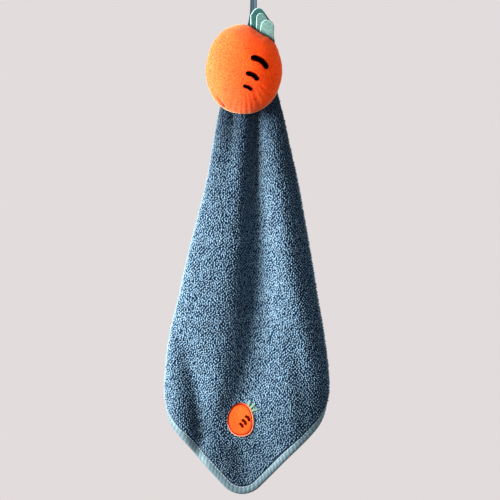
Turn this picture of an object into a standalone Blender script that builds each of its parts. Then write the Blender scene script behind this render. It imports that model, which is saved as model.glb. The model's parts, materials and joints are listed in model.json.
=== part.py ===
"""Hanging hand towel: a square of fleece hung by one corner under a stuffed round head.

Metres, +Z up. The origin is the hang point, inside the top of the loop. +X is the towel's right
as seen from the front, and the front faces -Y. The tables are in millimetres, and a drop is the
distance below the hang point.
"""
import bpy
import math
import numpy as np

MM = 0.001

# Driving dimensions, millimetres
CLOTH_SIDE = 318.0
CORNER_RADIUS = 25.0
CLOTH_THICK = 3.2
CLOTH_CELLS = 40
BINDING_WIDTH = 7.0
BINDING_EDGE_THICK = 1.8
BINDING_MID_THICK = 3.5
PIECE_GAP = 0.3
RIM_GAP = 0.6
RIM_THICK = 2.0
# How fast the round corners fade towards the cloth's middle, and the reach that a normal is read over
CORNER_FADE = 3
NORMAL_REACH = 1.5

# The cloth hangs in folds that all run out from one point near the hang point.
FAN_X = -2.0
FAN_RISE = 4.0
TIP_REACH = 102.0
FAN_HALF_ANGLE = 0.66
FAN_STEPS = 264
FAN_FIRST = 94.0
FAN_LAST = 566.0
FAN_LEVELS = 95

HEAD_X = -9.5
HEAD_DROP = 114.0
HEAD_HALF_WIDTH = 39.0
HEAD_HALF_HEIGHT = 45.3
HEAD_HALF_DEPTH = 22.0
HEAD_RINGS = 9
HEAD_SIDES = 44
# The head's crown: how flat its middle is and how round it turns in at the seam
HEAD_FLATNESS = 1.6
HEAD_TURN_IN = 0.46
BUMP_FADE = 2

LEAF_THICK = 1.3
LEAF_SEAT_RISE = 0.1
LEAF_CURVE_PARTS = 3
LEAF_ROOT_PARTS = 6
STRAP_WIDTH = 5.0
STRAP_THICK = 1.1
LOOP_RADIUS = 6.0
EYE_START = -18.0
EYE_STEPS = 10
STRAP_SEAT_RISE = 0.15
# The strap's front run up to the eye, as depth and drop, and its back run down from the eye, as
# across, depth and drop. The back run swings to the left at its root.
STRAP_FRONT_X = 1.0
STRAP_BACK_X = -0.8
STRAP_FRONT = ((1.8, 74.0), (1.8, 64.0), (1.5, 48.0), (0.2, 33.0), (-3.2, 18.0))
STRAP_BACK = ((-0.8, 4.6, 18.0), (-0.8, 3.0, 33.0), (-0.9, 3.1, 48.0), (-1.5, 3.3, 60.0), (-3.9, 3.35, 71.0))

BADGE_U = -2.3
BADGE_D = 366.2
BADGE_HALF_WIDTH = 13.8
BADGE_HALF_HEIGHT = 16.8
BADGE_TILT = math.radians(-8.0)
BADGE_THICK = 1.4
BADGE_GAP = 0.75
BADGE_SIDES = 28
BADGE_RINGS = (0.4, 0.75, 1.0)

# The section's points, how sharply the front turns into its sides, how soon the folds die out there
SECTION_STEPS = 241
SIDE_TURN = 0.8
FOLD_FADE = 3.0
# The section of the hanging cloth, a row for each level: the drop, the left and right sides as
# seen, how far back the sides and the front stand, how square the shoulder on each side is, and
# where the cloth's own middle line runs.
SECTION_COLUMNS = ("drop", "left", "right", "side_y", "front_y", "left_square", "right_square", "middle")
SECTION_ROWS = (
    (98.0, -28.0, 19.0, 33.0, 24.0, 5.0, 5.0, -3.0),
    (112.0, -29.0, 21.0, 33.0, 24.0, 5.0, 5.0, -3.0),
    (125.0, -29.5, 23.0, 32.5, 23.5, 4.5, 4.5, -3.0),
    (139.0, -31.0, 25.5, 30.0, 20.8, 4.0, 4.2, -3.0),
    (152.0, -33.5, 28.0, 25.0, 14.5, 3.2, 3.8, -3.0),
    (165.0, -36.0, 30.5, 19.5, 7.0, 2.7, 3.5, -3.0),
    (180.0, -38.5, 33.5, 14.5, 1.0, 2.4, 3.4, -3.2),
    (195.0, -41.0, 36.5, 11.0, -4.0, 2.2, 3.4, -3.5),
    (225.0, -46.0, 43.0, 7.5, -9.0, 2.0, 3.4, -4.0),
    (295.0, -63.0, 55.5, 5.5, -13.0, 2.0, 3.4, -5.0),
    (345.0, -74.0, 63.5, 5.0, -14.0, 2.0, 3.4, -6.5),
    (395.0, -85.0, 71.5, 5.0, -16.0, 2.0, 3.2, -8.0),
    (425.0, -88.5, 75.0, 5.5, -18.0, 2.0, 3.0, -9.0),
    (445.0, -89.5, 75.5, 6.0, -20.0, 2.0, 2.8, -9.5),
    (470.0, -85.5, 71.0, 6.5, -22.0, 2.0, 2.5, -10.5),
    (500.0, -81.0, 69.0, 6.0, -20.0, 2.0, 2.2, -11.0),
    (560.0, -80.0, 68.0, 5.0, -13.0, 2.0, 2.0, -12.0),
)

# Folds in the front, a row for each height: drop, place across, reach to the left and to the
# right, and depth (a ridge has a negative depth).
FOLDS = {
    "main_valley": (
        (130.0, 2.0, 6.0, 6.0, 0.0),
        (150.0, 2.5, 6.5, 7.0, 7.0),
        (175.0, 2.0, 8.0, 9.0, 13.0),
        (225.0, 1.0, 10.5, 12.0, 17.0),
        (295.0, 0.0, 13.0, 17.0, 18.0),
        (345.0, -3.0, 15.0, 23.0, 18.0),
        (385.0, -6.0, 16.0, 29.0, 16.0),
        (425.0, -12.0, 16.0, 32.0, 13.0),
        (465.0, -20.0, 11.0, 26.0, 6.0),
        (495.0, -28.0, 10.0, 20.0, 1.0),
        (530.0, -40.0, 9.0, 14.0, 0.0),
    ),
    "right_ridge": (
        (145.0, 17.0, 6.0, 6.0, 0.0),
        (170.0, 19.0, 6.0, 7.0, -2.0),
        (225.0, 25.0, 8.0, 9.0, -3.0),
        (295.0, 33.0, 10.0, 11.0, -4.0),
        (345.0, 40.0, 13.0, 12.0, -4.5),
        (395.0, 46.0, 16.0, 13.0, -4.0),
        (440.0, 47.0, 18.0, 14.0, -3.0),
        (480.0, 47.0, 18.0, 14.0, 0.0),
    ),
    "lower_hollow": (
        (410.0, -20.0, 24.0, 36.0, 0.0),
        (440.0, -13.0, 32.0, 36.0, 6.0),
        (460.0, -9.0, 40.0, 36.0, 12.0),
        (480.0, -5.0, 46.0, 36.0, 17.0),
        (500.0, -1.0, 48.0, 36.0, 17.0),
        (520.0, 2.0, 46.0, 34.0, 10.0),
        (550.0, 2.0, 46.0, 34.0, 2.0),
    ),
    "upper_left_valley": (
        (142.0, -19.0, 5.0, 5.0, 0.0),
        (158.0, -20.0, 6.0, 5.5, 4.5),
        (185.0, -22.0, 8.0, 7.0, 4.0),
        (230.0, -26.0, 9.0, 8.0, 1.5),
        (265.0, -28.0, 9.0, 8.0, 0.0),
    ),
    "left_hollow": (
        (370.0, -73.0, 9.0, 9.0, 0.0),
        (400.0, -68.0, 11.0, 10.0, 5.0),
        (430.0, -63.0, 11.0, 12.0, 12.0),
        (460.0, -58.0, 9.0, 10.0, 13.0),
        (480.0, -56.0, 8.0, 9.0, 13.0),
        (500.0, -54.0, 8.0, 9.0, 6.0),
        (515.0, -52.0, 8.0, 9.0, 0.0),
    ),
    "right_hollow": (
        (330.0, 36.0, 8.0, 8.0, 0.0),
        (370.0, 38.0, 9.0, 9.0, 2.0),
        (420.0, 46.0, 10.0, 9.0, 3.5),
        (465.0, 50.0, 10.0, 9.0, 2.0),
        (500.0, 50.0, 10.0, 9.0, 0.0),
    ),
    "tip_hollow": (
        (485.0, -22.0, 9.0, 9.0, 0.0),
        (505.0, -19.0, 11.0, 10.0, 2.5),
        (535.0, -15.0, 11.0, 10.0, 0.0),
    ),
}

# The side corners fall to the back in soft waves, a row for each level: the drop, the cloth's
# length in one wave, how far the cloth turns in it (radians) and how much it leans backwards.
WAVE_COLUMNS = ("drop", "wave", "swing", "lean")
BACK_WAVES = {
    "left": (
        (125.0, 62.0, 1.42, 0.15),
        (165.0, 66.0, 1.40, 0.30),
        (200.0, 66.0, 1.40, 0.30),
        (240.0, 66.0, 1.44, 0.24),
        (280.0, 70.0, 1.46, 0.20),
        (320.0, 77.0, 1.48, 0.21),
        (360.0, 85.0, 1.49, 0.21),
        (400.0, 93.0, 1.49, 0.21),
        (460.0, 105.0, 1.48, 0.18),
    ),
    "right": (
        (125.0, 58.0, 1.42, 0.15),
        (165.0, 60.0, 1.40, 0.30),
        (200.0, 58.0, 1.40, 0.30),
        (240.0, 57.0, 1.42, 0.24),
        (280.0, 60.0, 1.44, 0.20),
        (320.0, 66.0, 1.46, 0.21),
        (360.0, 73.0, 1.47, 0.23),
        (400.0, 80.0, 1.47, 0.26),
        (460.0, 90.0, 1.46, 0.20),
    ),
}
BACK_RUN = 260.0
SECTION_STEP = 0.5

# Places where the head's outline leaves its oval: angle and spread in degrees, rise in mm.
HEAD_BUMPS = {
    "leaf_seam": (66.0, 17.0, -4.2),
    "upper_right": (22.0, 14.0, -1.2),
    "upper_left": (158.0, 16.0, -1.2),
    "lower_left": (238.0, 16.0, 1.3),
    "lower_right": (300.0, 16.0, 0.8),
}
HEAD_PUCKERS = 15
HEAD_PUCKER_DEPTH = 0.9
PUCKER_NEARNESS = 8
SEAM_PUCKER_SHARE = 0.3
# Steps of the search for a place on the head's outline, in one degree
ANGLE_PARTS = 10

# Felt leaves: the depth of each one's plane, and its outline from root to root over the top,
# as across and drop. The roots follow the head.
LEAVES = {
    "leaf_back": (0.1, ((-3.0, 60.0), (0.5, 55.0), (3.5, 53.0), (5.5, 52.5), (9.5, 55.0), (16.0, 64.5),
                        (19.5, 67.5))),
    "leaf_middle": (-1.6, ((3.0, 62.0), (4.5, 59.5), (7.0, 58.3), (10.5, 59.7), (15.0, 66.5), (20.0, 72.0))),
    "leaf_front": (-3.3, ((7.8, 69.0), (10.0, 66.3), (12.5, 65.4), (16.5, 66.3), (20.0, 69.5),
                          (20.6, 75.0), (20.2, 80.5), (21.5, 87.0))),
}
LEAF_ROOTS = {"leaf_back": (-3.0, 20.5), "leaf_middle": (2.5, 20.8), "leaf_front": (6.0, 21.0)}

# Each material's colour and roughness
FINISHES = {
    "blue_fleece": ((0.13, 0.24, 0.32), 0.95),
    "satin_binding": ((0.30, 0.42, 0.45), 0.5),
    "orange_plush": ((0.90, 0.14, 0.02), 0.85),
    "felt_leaf_back": ((0.05, 0.16, 0.14), 0.9),
    "felt_leaf_middle": ((0.16, 0.31, 0.29), 0.9),
    "felt_leaf_front": ((0.22, 0.42, 0.37), 0.9),
    "strap": ((0.06, 0.11, 0.14), 0.8),
    "badge_plush": ((0.86, 0.15, 0.03), 0.8),
}
# Edges sharper than this stay crisp, in degrees: on soft pieces and on cut or woven ones
SOFT_ANGLE = 60.0
CRISP_ANGLE = 40.0


def clear_scene():
    """Start from an empty scene."""
    for obj in list(bpy.data.objects):
        bpy.data.objects.remove(obj, do_unlink=True)


def finish(name):
    """The piece's own material."""
    colour, roughness = FINISHES[name]
    mat = bpy.data.materials.new(name)
    mat.use_nodes = True
    shader = mat.node_tree.nodes["Principled BSDF"]
    shader.inputs["Base Color"].default_value = (*colour, 1.0)
    shader.inputs["Roughness"].default_value = roughness
    shader.inputs["Metallic"].default_value = 0.0
    return mat


def add_piece(name, points_mm, faces, mat, smooth_angle=CRISP_ANGLE):
    """One closed solid from points in millimetres."""
    mesh = bpy.data.meshes.new(name)
    mesh.from_pydata([tuple(c * MM for c in p) for p in points_mm], [], faces)
    mesh.materials.append(mat)
    mesh.validate()
    mesh.update()
    mesh.shade_smooth()
    mesh.set_sharp_from_angle(angle=math.radians(smooth_angle))
    obj = bpy.data.objects.new(name, mesh)
    bpy.context.scene.collection.objects.link(obj)
    return obj


def smooth_table(at, knots, values):
    """Smooth curve through a table's rows, flat beyond its ends."""
    knots = np.asarray(knots, float)
    values = np.asarray(values, float)
    at = np.clip(at, knots[0], knots[-1])
    slopes = np.gradient(values, knots)
    index = np.clip(np.searchsorted(knots, at) - 1, 0, len(knots) - 2)
    span = knots[index + 1] - knots[index]
    t = (at - knots[index]) / span
    start = (2 * t**3 - 3 * t**2 + 1) * values[index] + (t**3 - 2 * t**2 + t) * span * slopes[index]
    end = (3 * t**2 - 2 * t**3) * values[index + 1] + (t**3 - t**2) * span * slopes[index + 1]
    return start + end


def at_level(drop, columns, rows, name):
    """One named column of a table at a drop."""
    table = np.array(rows)
    return float(smooth_table(drop, table[:, 0], table[:, columns.index(name)]))


def section_size(name, drop):
    """One named size of the cloth's section at a drop."""
    return at_level(drop, SECTION_COLUMNS, SECTION_ROWS, name)


def fold_depth(across, drop):
    """How far all the front's folds push the cloth back."""
    total = np.zeros_like(across)
    for rows in FOLDS.values():
        drops, places, left_reach, right_reach, depths = zip(*rows)
        if drop <= drops[0] or drop >= drops[-1]:
            continue
        place = smooth_table(drop, drops, places)
        depth = smooth_table(drop, drops, depths)
        reach = np.where(across < place, smooth_table(drop, drops, left_reach),
                         smooth_table(drop, drops, right_reach))
        total += depth * np.exp(-((across - place) / reach) ** 2)
    return total


def back_wave(side, drop):
    """A side corner's path across the back, from the side inwards: steps across and backwards."""
    wave, swing, lean = (at_level(drop, WAVE_COLUMNS, BACK_WAVES[side], name) for name in WAVE_COLUMNS[1:])
    steps = np.arange(0.0, BACK_RUN, SECTION_STEP)
    heading = lean + swing * np.cos(2.0 * math.pi * steps / wave)
    inward = np.cumsum(np.cos(heading)) * SECTION_STEP
    backward = np.cumsum(np.sin(heading)) * SECTION_STEP
    return inward, backward


def section(reach):
    """The cloth's cut through all its layers at one distance from the fan's point.

    Gives across, depth and the length along the cloth, which is 0 at the cloth's middle line.
    """
    drop = reach - FAN_RISE
    skin = CLOTH_THICK / 2.0
    left = section_size("left", drop) + skin
    right = section_size("right", drop) - skin
    side_y = section_size("side_y", drop)
    spread = np.sin(np.linspace(-math.pi / 2, math.pi / 2, SECTION_STEPS))
    square = np.where(spread < 0.0, section_size("left_square", drop), section_size("right_square", drop))
    forward = np.sqrt(np.maximum(0.0, 1.0 - np.abs(spread) ** square))
    across = (left + right) / 2.0 + (right - left) / 2.0 * spread
    depth = side_y - (side_y - section_size("front_y", drop)) * forward ** SIDE_TURN
    depth = depth + fold_depth(across, drop) * np.minimum(1.0, forward * FOLD_FADE)
    left_in, left_back = back_wave("left", drop)
    right_in, right_back = back_wave("right", drop)
    xs = np.concatenate(((left + left_in)[::-1], across, right - right_in))
    ys = np.concatenate(((side_y + left_back)[::-1], depth, side_y + right_back))
    lengths = np.concatenate(((0.0,), np.cumsum(np.hypot(np.diff(xs), np.diff(ys)))))
    front = slice(len(left_in), len(left_in) + len(across))
    middle = np.interp(section_size("middle", drop), across, lengths[front])
    return xs, ys, lengths - middle


def build_fan():
    """The whole fold map: a place for each distance and angle from the fan's point."""
    reaches = np.linspace(FAN_FIRST, FAN_LAST, FAN_LEVELS)
    angles = np.linspace(-FAN_HALF_ANGLE, FAN_HALF_ANGLE, FAN_STEPS + 1)
    places = np.zeros((FAN_LEVELS, FAN_STEPS + 1, 3))
    for row, reach in enumerate(reaches):
        xs, ys, lengths = section(reach)
        across = np.interp(angles * reach, lengths, xs)
        depth = np.interp(angles * reach, lengths, ys)
        offset = across - FAN_X
        places[row, :, 0] = across
        places[row, :, 1] = depth
        places[row, :, 2] = FAN_RISE - np.sqrt(reach**2 - offset**2 - (depth / 2.0) ** 2)
    return places


def fan_place(fan, u, d):
    """Where flat points of the cloth hang: u across from its middle line, d down from its tip."""
    from_point = d + TIP_REACH
    reach = np.hypot(u, from_point)
    angle = np.arctan2(u, from_point)
    row = np.clip((reach - FAN_FIRST) / (FAN_LAST - FAN_FIRST) * (FAN_LEVELS - 1), 0, FAN_LEVELS - 1.001)
    col = (angle + FAN_HALF_ANGLE) / (2.0 * FAN_HALF_ANGLE) * FAN_STEPS
    col = np.clip(col, 0, FAN_STEPS - 0.001)
    i = row.astype(int)
    j = col.astype(int)
    s = (row - i)[..., None]
    t = (col - j)[..., None]
    near = fan[i, j] * (1 - t) + fan[i, j + 1] * t
    far = fan[i + 1, j] * (1 - t) + fan[i + 1, j + 1] * t
    return near * (1 - s) + far * s


def hang(fan, flat, lift):
    """Flat points hung in the folds and lifted off the cloth's middle towards its front."""
    u = flat[..., 0]
    d = flat[..., 1]
    place = fan_place(fan, u, d)
    along = fan_place(fan, u + NORMAL_REACH, d) - fan_place(fan, u - NORMAL_REACH, d)
    down = fan_place(fan, u, d + NORMAL_REACH) - fan_place(fan, u, d - NORMAL_REACH)
    normal = np.cross(down, along)
    normal /= np.linalg.norm(normal, axis=-1, keepdims=True)
    return place + normal * np.asarray(lift)[..., None]


def rounded_square(p, q, half, radius):
    """Move a grid point (-1 to 1 each way) onto concentric squares with round corners."""
    scale = max(abs(p), abs(q))
    if scale == 0.0:
        return 0.0, 0.0
    side = half * scale
    corner = min(radius * scale**CORNER_FADE, side)
    small = min(abs(p), abs(q)) / scale * side
    big = side
    if small > side - corner:
        turn = math.radians(45.0) * (small - side + corner) / corner
        big = side - corner + corner * math.cos(turn)
        small = side - corner + corner * math.sin(turn)
    x, y = (big, small) if abs(p) >= abs(q) else (small, big)
    return math.copysign(x, p), math.copysign(y, q)


def flat_grid(inset):
    """The cloth laid flat, (cells + 1) points each way, as across and down from the tip."""
    half = CLOTH_SIDE / 2.0 - inset
    radius = CORNER_RADIUS - inset
    centre = CLOTH_SIDE / math.sqrt(2.0)
    grid = np.zeros((CLOTH_CELLS + 1, CLOTH_CELLS + 1, 2))
    for i in range(CLOTH_CELLS + 1):
        for j in range(CLOTH_CELLS + 1):
            p, q = rounded_square(2.0 * i / CLOTH_CELLS - 1.0, 2.0 * j / CLOTH_CELLS - 1.0, half, radius)
            grid[i, j] = ((p - q) / math.sqrt(2.0), (p + q) / math.sqrt(2.0) + centre)
    return grid


def rim_order():
    """The grid's rim points in order round the cloth."""
    n = CLOTH_CELLS
    rim = [(i, 0) for i in range(n)] + [(n, j) for j in range(n)]
    rim += [(i, n) for i in range(n, 0, -1)] + [(0, j) for j in range(n, 0, -1)]
    return rim


def make_cloth(fan):
    """The fleece square, its pile included in its thickness."""
    flat = flat_grid(BINDING_WIDTH + RIM_GAP)
    n = CLOTH_CELLS
    lift = np.full(flat.shape[:2], CLOTH_THICK / 2.0)
    for i, j in rim_order():
        lift[i, j] = RIM_THICK / 2.0
    front = hang(fan, flat, lift).reshape(-1, 3)
    back = hang(fan, flat, -lift).reshape(-1, 3)
    count = len(front)
    faces = []
    for i in range(n):
        for j in range(n):
            a = i * (n + 1) + j
            b, c, e = a + n + 1, a + n + 2, a + 1
            side_corner = (i == 0 and j == n - 1) or (i == n - 1 and j == 0)
            halves = ((a, b, e), (b, c, e)) if side_corner else ((a, b, c), (a, c, e))
            for tri in halves:
                faces.append(tri[::-1])
                faces.append(tuple(v + count for v in tri))
    rim = [i * (n + 1) + j for i, j in rim_order()]
    for a, b in zip(rim, rim[1:] + rim[:1]):
        faces.append((a, b, b + count))
        faces.append((a, b + count, a + count))
    return add_piece("cloth", np.vstack((front, back)), faces, finish("blue_fleece"), SOFT_ANGLE)


def make_binding(fan):
    """The band round all four sides, thickest along its middle."""
    section_rows = (
        (BINDING_WIDTH, BINDING_EDGE_THICK),
        (BINDING_WIDTH / 2.0, BINDING_MID_THICK),
        (0.0, BINDING_EDGE_THICK),
    )
    rim = rim_order()
    lines = []
    for inset, thick in section_rows:
        grid = flat_grid(inset)
        flat = np.array([grid[i, j] for i, j in rim])
        lines.append((hang(fan, flat, np.full(len(rim), thick / 2.0)),
                      hang(fan, flat, np.full(len(rim), -thick / 2.0))))
    loops = [lines[0][0], lines[1][0], lines[2][0], lines[2][1], lines[1][1], lines[0][1]]
    count = len(rim)
    points = np.vstack(loops)
    faces = []
    for ring in range(len(loops)):
        here = ring * count
        after = ((ring + 1) % len(loops)) * count
        for k in range(count):
            m = (k + 1) % count
            faces.append((here + k, after + m, after + k))
            faces.append((here + k, here + m, after + m))
    return add_piece("edge_binding", points, faces, finish("satin_binding"), SOFT_ANGLE)


def head_radius(angle, share):
    """The head's outline about its middle, its bumps fading as it turns in to its face."""
    oval = 1.0 / math.hypot(math.cos(angle) / HEAD_HALF_WIDTH, math.sin(angle) / HEAD_HALF_HEIGHT)
    for centre, spread, rise in HEAD_BUMPS.values():
        away = (math.degrees(angle) - centre + 180.0) % 360.0 - 180.0
        oval += rise * share**BUMP_FADE * math.exp(-((away / spread) ** 2))
    return oval


def head_share(depth):
    """How much of the outline is left at a depth from the seam."""
    return (1.0 - min(1.0, abs(depth) / HEAD_HALF_DEPTH) ** HEAD_FLATNESS) ** HEAD_TURN_IN


def head_surface(angle, depth):
    """Across and drop of the head's surface at an angle and a depth."""
    share = head_share(depth)
    radius = head_radius(angle, share) * share
    return HEAD_X + radius * math.cos(angle), HEAD_DROP - radius * math.sin(angle)


def make_head():
    """The stuffed head: a crown front and back, drawn in along its seam."""
    points = [(HEAD_X, -HEAD_HALF_DEPTH, -HEAD_DROP)]
    rings = []
    for ring in range(1, 2 * HEAD_RINGS):
        turn = math.pi * ring / (2 * HEAD_RINGS)
        depth = -HEAD_HALF_DEPTH * math.cos(turn)
        rings.append(depth)
        near_seam = math.sin(turn) ** PUCKER_NEARNESS
        for side in range(HEAD_SIDES):
            angle = 2.0 * math.pi * side / HEAD_SIDES
            across, drop = head_surface(angle, depth)
            pucker = HEAD_PUCKER_DEPTH * near_seam * (0.5 - 0.5 * math.cos(HEAD_PUCKERS * angle))
            pucker *= SEAM_PUCKER_SHARE if ring == HEAD_RINGS else 1.0
            across -= pucker * math.cos(angle)
            drop += pucker * math.sin(angle)
            points.append((across, depth, -drop))
    points.append((HEAD_X, HEAD_HALF_DEPTH, -HEAD_DROP))
    last = len(points) - 1
    faces = []
    for side in range(HEAD_SIDES):
        after = (side + 1) % HEAD_SIDES
        faces.append((0, 1 + side, 1 + after))
        for ring in range(len(rings) - 1):
            a = 1 + ring * HEAD_SIDES
            b = a + HEAD_SIDES
            faces.append((a + side, b + side, b + after, a + after))
        end = 1 + (len(rings) - 1) * HEAD_SIDES
        faces.append((last, end + after, end + side))
    return add_piece("plush_head", points, faces, finish("orange_plush"), SOFT_ANGLE)


def head_angle_at(across, depth):
    """The angle, on the head's upper half, at which its surface is at a place across."""
    angles = [math.radians(k / ANGLE_PARTS) for k in range(180 * ANGLE_PARTS + 1)]
    return min(angles, key=lambda angle: abs(head_surface(angle, depth)[0] - across))


def smooth_run(knots, parts):
    """Points along a smooth curve through a few knots."""
    knots = [np.array(k, float) for k in knots]
    run = []
    for k in range(len(knots) - 1):
        before = knots[max(k - 1, 0)]
        start = knots[k]
        end = knots[k + 1]
        after = knots[min(k + 2, len(knots) - 1)]
        for part in range(parts):
            t = part / parts
            run.append(0.5 * (2 * start + (end - before) * t
                              + (2 * before - 5 * start + 4 * end - after) * t**2
                              + (3 * start - before - 3 * end + after) * t**3))
    run.append(knots[-1])
    return run


def make_leaf(name):
    """One felt leaf, its root following the head's seam."""
    plane, knots = LEAVES[name]
    root_left, root_right = LEAF_ROOTS[name]
    top = smooth_run(knots, LEAF_CURVE_PARTS)
    start = head_angle_at(root_left, plane)
    end = head_angle_at(root_right, plane)
    nearest = max(0.0, abs(plane) - LEAF_THICK / 2.0)
    roots = []
    for k in range(LEAF_ROOT_PARTS + 1):
        angle = end + (start - end) * k / LEAF_ROOT_PARTS
        across, drop = head_surface(angle, nearest)
        rise = (PIECE_GAP + LEAF_SEAT_RISE) * math.sin(angle)
        roots.append((across + PIECE_GAP * math.cos(angle), drop - rise))
    outline = [(p[0], p[1]) for p in top] + roots
    points = []
    for y in (plane - LEAF_THICK / 2.0, plane + LEAF_THICK / 2.0):
        points += [(across, y, -drop) for across, drop in outline]
    n = len(outline)
    faces = [tuple(range(n))[::-1], tuple(range(n, 2 * n))]
    faces += [(k, (k + 1) % n, (k + 1) % n + n, k + n) for k in range(n)]
    return add_piece(name, points, faces, finish("felt_" + name))


def strap_rows():
    """The strap's middle line: up from the seam, round the eye and down behind: across, depth, drop."""
    rows = [(STRAP_FRONT_X, *place) for place in STRAP_FRONT]
    middle = LOOP_RADIUS + STRAP_THICK / 2.0
    for k in range(EYE_STEPS + 1):
        share = k / EYE_STEPS
        turn = math.radians(EYE_START + (180.0 - 2.0 * EYE_START) * share)
        across = STRAP_FRONT_X + (STRAP_BACK_X - STRAP_FRONT_X) * share
        rows.append((across, -middle * math.cos(turn), LOOP_RADIUS - middle * math.sin(turn)))
    return rows + list(STRAP_BACK)


def make_loop():
    """One flat strap, doubled over into an eye, its two ends on the head's seam."""
    rows = strap_rows()
    points = []
    for k, (across, depth, drop) in enumerate(rows):
        before = rows[max(k - 1, 0)]
        after = rows[min(k + 1, len(rows) - 1)]
        run = math.hypot(after[1] - before[1], after[2] - before[2])
        normal = ((after[2] - before[2]) / run, -(after[1] - before[1]) / run)
        for side, face in ((-1, -1), (1, -1), (1, 1), (-1, 1)):
            x = across + side * STRAP_WIDTH / 2.0
            y = depth + face * normal[0] * STRAP_THICK / 2.0
            z = -drop - face * normal[1] * STRAP_THICK / 2.0
            if k in (0, len(rows) - 1):
                seat = head_surface(head_angle_at(x, depth), depth - STRAP_THICK / 2.0)[1]
                z = -seat + PIECE_GAP + STRAP_SEAT_RISE
            points.append((x, y, z))
    faces = [(0, 1, 2, 3), tuple(len(points) - k for k in (1, 2, 3, 4))]
    for k in range(len(rows) - 1):
        for corner in range(4):
            here = 4 * k + corner
            beside = 4 * k + (corner + 1) % 4
            faces.append((here, here + 4, beside + 4, beside))
    return add_piece("hang_loop", points, faces, finish("strap"))


def make_badge(fan):
    """The orange applique, lying on the cloth and bent with it."""
    lifts = (CLOTH_THICK / 2.0 + BADGE_GAP + BADGE_THICK, CLOTH_THICK / 2.0 + BADGE_GAP)
    loops = []
    for lift in lifts:
        flat = [(BADGE_U, BADGE_D)]
        for share in BADGE_RINGS:
            for side in range(BADGE_SIDES):
                angle = 2.0 * math.pi * side / BADGE_SIDES
                u = BADGE_HALF_WIDTH * share * math.cos(angle)
                d = -BADGE_HALF_HEIGHT * share * math.sin(angle)
                flat.append((BADGE_U + u * math.cos(BADGE_TILT) - d * math.sin(BADGE_TILT),
                             BADGE_D + u * math.sin(BADGE_TILT) + d * math.cos(BADGE_TILT)))
        flat = np.array(flat)
        loops.append(hang(fan, flat, np.full(len(flat), lift)))
    points = np.vstack(loops)
    count = len(loops[0])
    faces = []
    for side in range(BADGE_SIDES):
        after = (side + 1) % BADGE_SIDES
        quads = [(0, 1 + side, 1 + after)]
        for ring in range(len(BADGE_RINGS) - 1):
            a = 1 + ring * BADGE_SIDES
            b = a + BADGE_SIDES
            quads += [(a + side, b + side, b + after), (a + side, b + after, a + after)]
        for quad in quads:
            faces.append(quad)
            faces.append(tuple(v + count for v in quad)[::-1])
        rim = 1 + (len(BADGE_RINGS) - 1) * BADGE_SIDES
        faces.append((rim + side, rim + side + count, rim + after + count))
        faces.append((rim + side, rim + after + count, rim + after))
    return add_piece("badge", points, faces, finish("badge_plush"))


def main():
    clear_scene()
    fan = build_fan()
    make_cloth(fan)
    make_binding(fan)
    make_head()
    for name in LEAVES:
        make_leaf(name)
    make_loop()
    make_badge(fan)


main()
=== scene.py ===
"""The photographed look of the hanging hand towel, over its fixed CAD frame.

Tables and sizes are in millimetres, and meshes in metres. +X is the towel's right as seen from
the front, the front faces -Y, and a drop is the distance below the hang point.
"""
import bmesh
import bpy
import json
import math
import numpy as np
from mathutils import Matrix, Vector
from mathutils.bvhtree import BVHTree

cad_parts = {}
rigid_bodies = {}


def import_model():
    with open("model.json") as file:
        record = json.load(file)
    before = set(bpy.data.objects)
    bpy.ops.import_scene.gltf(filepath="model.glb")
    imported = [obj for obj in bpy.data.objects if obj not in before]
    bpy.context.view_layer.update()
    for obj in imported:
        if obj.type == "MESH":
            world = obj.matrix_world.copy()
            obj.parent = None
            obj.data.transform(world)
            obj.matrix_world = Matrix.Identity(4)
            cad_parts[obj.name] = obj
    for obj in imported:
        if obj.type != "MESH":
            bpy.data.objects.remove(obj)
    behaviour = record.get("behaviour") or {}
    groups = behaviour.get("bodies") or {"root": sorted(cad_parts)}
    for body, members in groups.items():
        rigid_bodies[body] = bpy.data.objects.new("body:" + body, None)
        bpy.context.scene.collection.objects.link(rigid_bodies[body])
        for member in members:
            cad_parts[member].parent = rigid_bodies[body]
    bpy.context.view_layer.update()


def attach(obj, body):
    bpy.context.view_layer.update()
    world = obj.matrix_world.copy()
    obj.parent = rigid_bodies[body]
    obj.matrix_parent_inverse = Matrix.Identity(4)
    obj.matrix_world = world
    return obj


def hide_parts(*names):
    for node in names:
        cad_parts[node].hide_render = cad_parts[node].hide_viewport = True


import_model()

MM = 0.001
BODY = "root"

# The photograph's frame and the camera that took it
PHOTO_SIDE = 500.0
CAMERA_X = -3.5
CAMERA_DROP = 295.0
CAMERA_AWAY = 1389.0
LENS = 100.0
SENSOR = 36.0
BACKDROP = (226, 220, 220)

# The cloth's cut, and its knitted ground: a bare strip beside the binding has no curls, so the ground's
# painted shade shows there as a dark line
CLOTH_SIDE = 318.0
CLOTH_THICK = 3.2
CORNER_RADIUS = 25.0
BINDING_WIDTH = 7.0
RIM_GAP = 0.3
BARE_RING = 1.2
GROUND_CELLS = 120
GROUND_THICK = 1.5

# The pile: curls of fleece on both faces, no closer than a spacing and no denser than so many a
# square metre, each one between a least and a most share of its length, width and height
CURL_LENGTH = 3.3
CURL_WIDTH = 1.35
CURL_HEIGHT = 1.55
CURL_FLATTEN = 0.8
CURL_TOP = 1.25
CURL_SPACING = 1.78
CURL_DENSITY = 1500000.0
CURL_LEAST = (0.78, 0.80, 0.70)
CURL_MOST = (1.22, 1.25, 1.20)
# How the curls lie, in radians: their common slant, each one's own stray, and a drift over the cloth
CURL_ROW_TURN = 0.95
CURL_STRAY = 0.42
CURL_DRIFT = 3.5
CURL_LIE_SCALE = 95.0
# How the folds brush the curls: those that face left lie wider and flatter, and those that face right, or
# are gathered in the neck, stand closer; painted light makes the first paler, and painted shade makes
# the others darker
BRUSH_REACH = 1.3
BRUSH_PAINTED_LIGHT = 0.15
BRUSH_FLAT = 0.22
BRUSH_SPREAD = 0.24
NECK_DROP = 95.0
NECK_GATHER_AND_SHADE = 0.8
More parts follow.
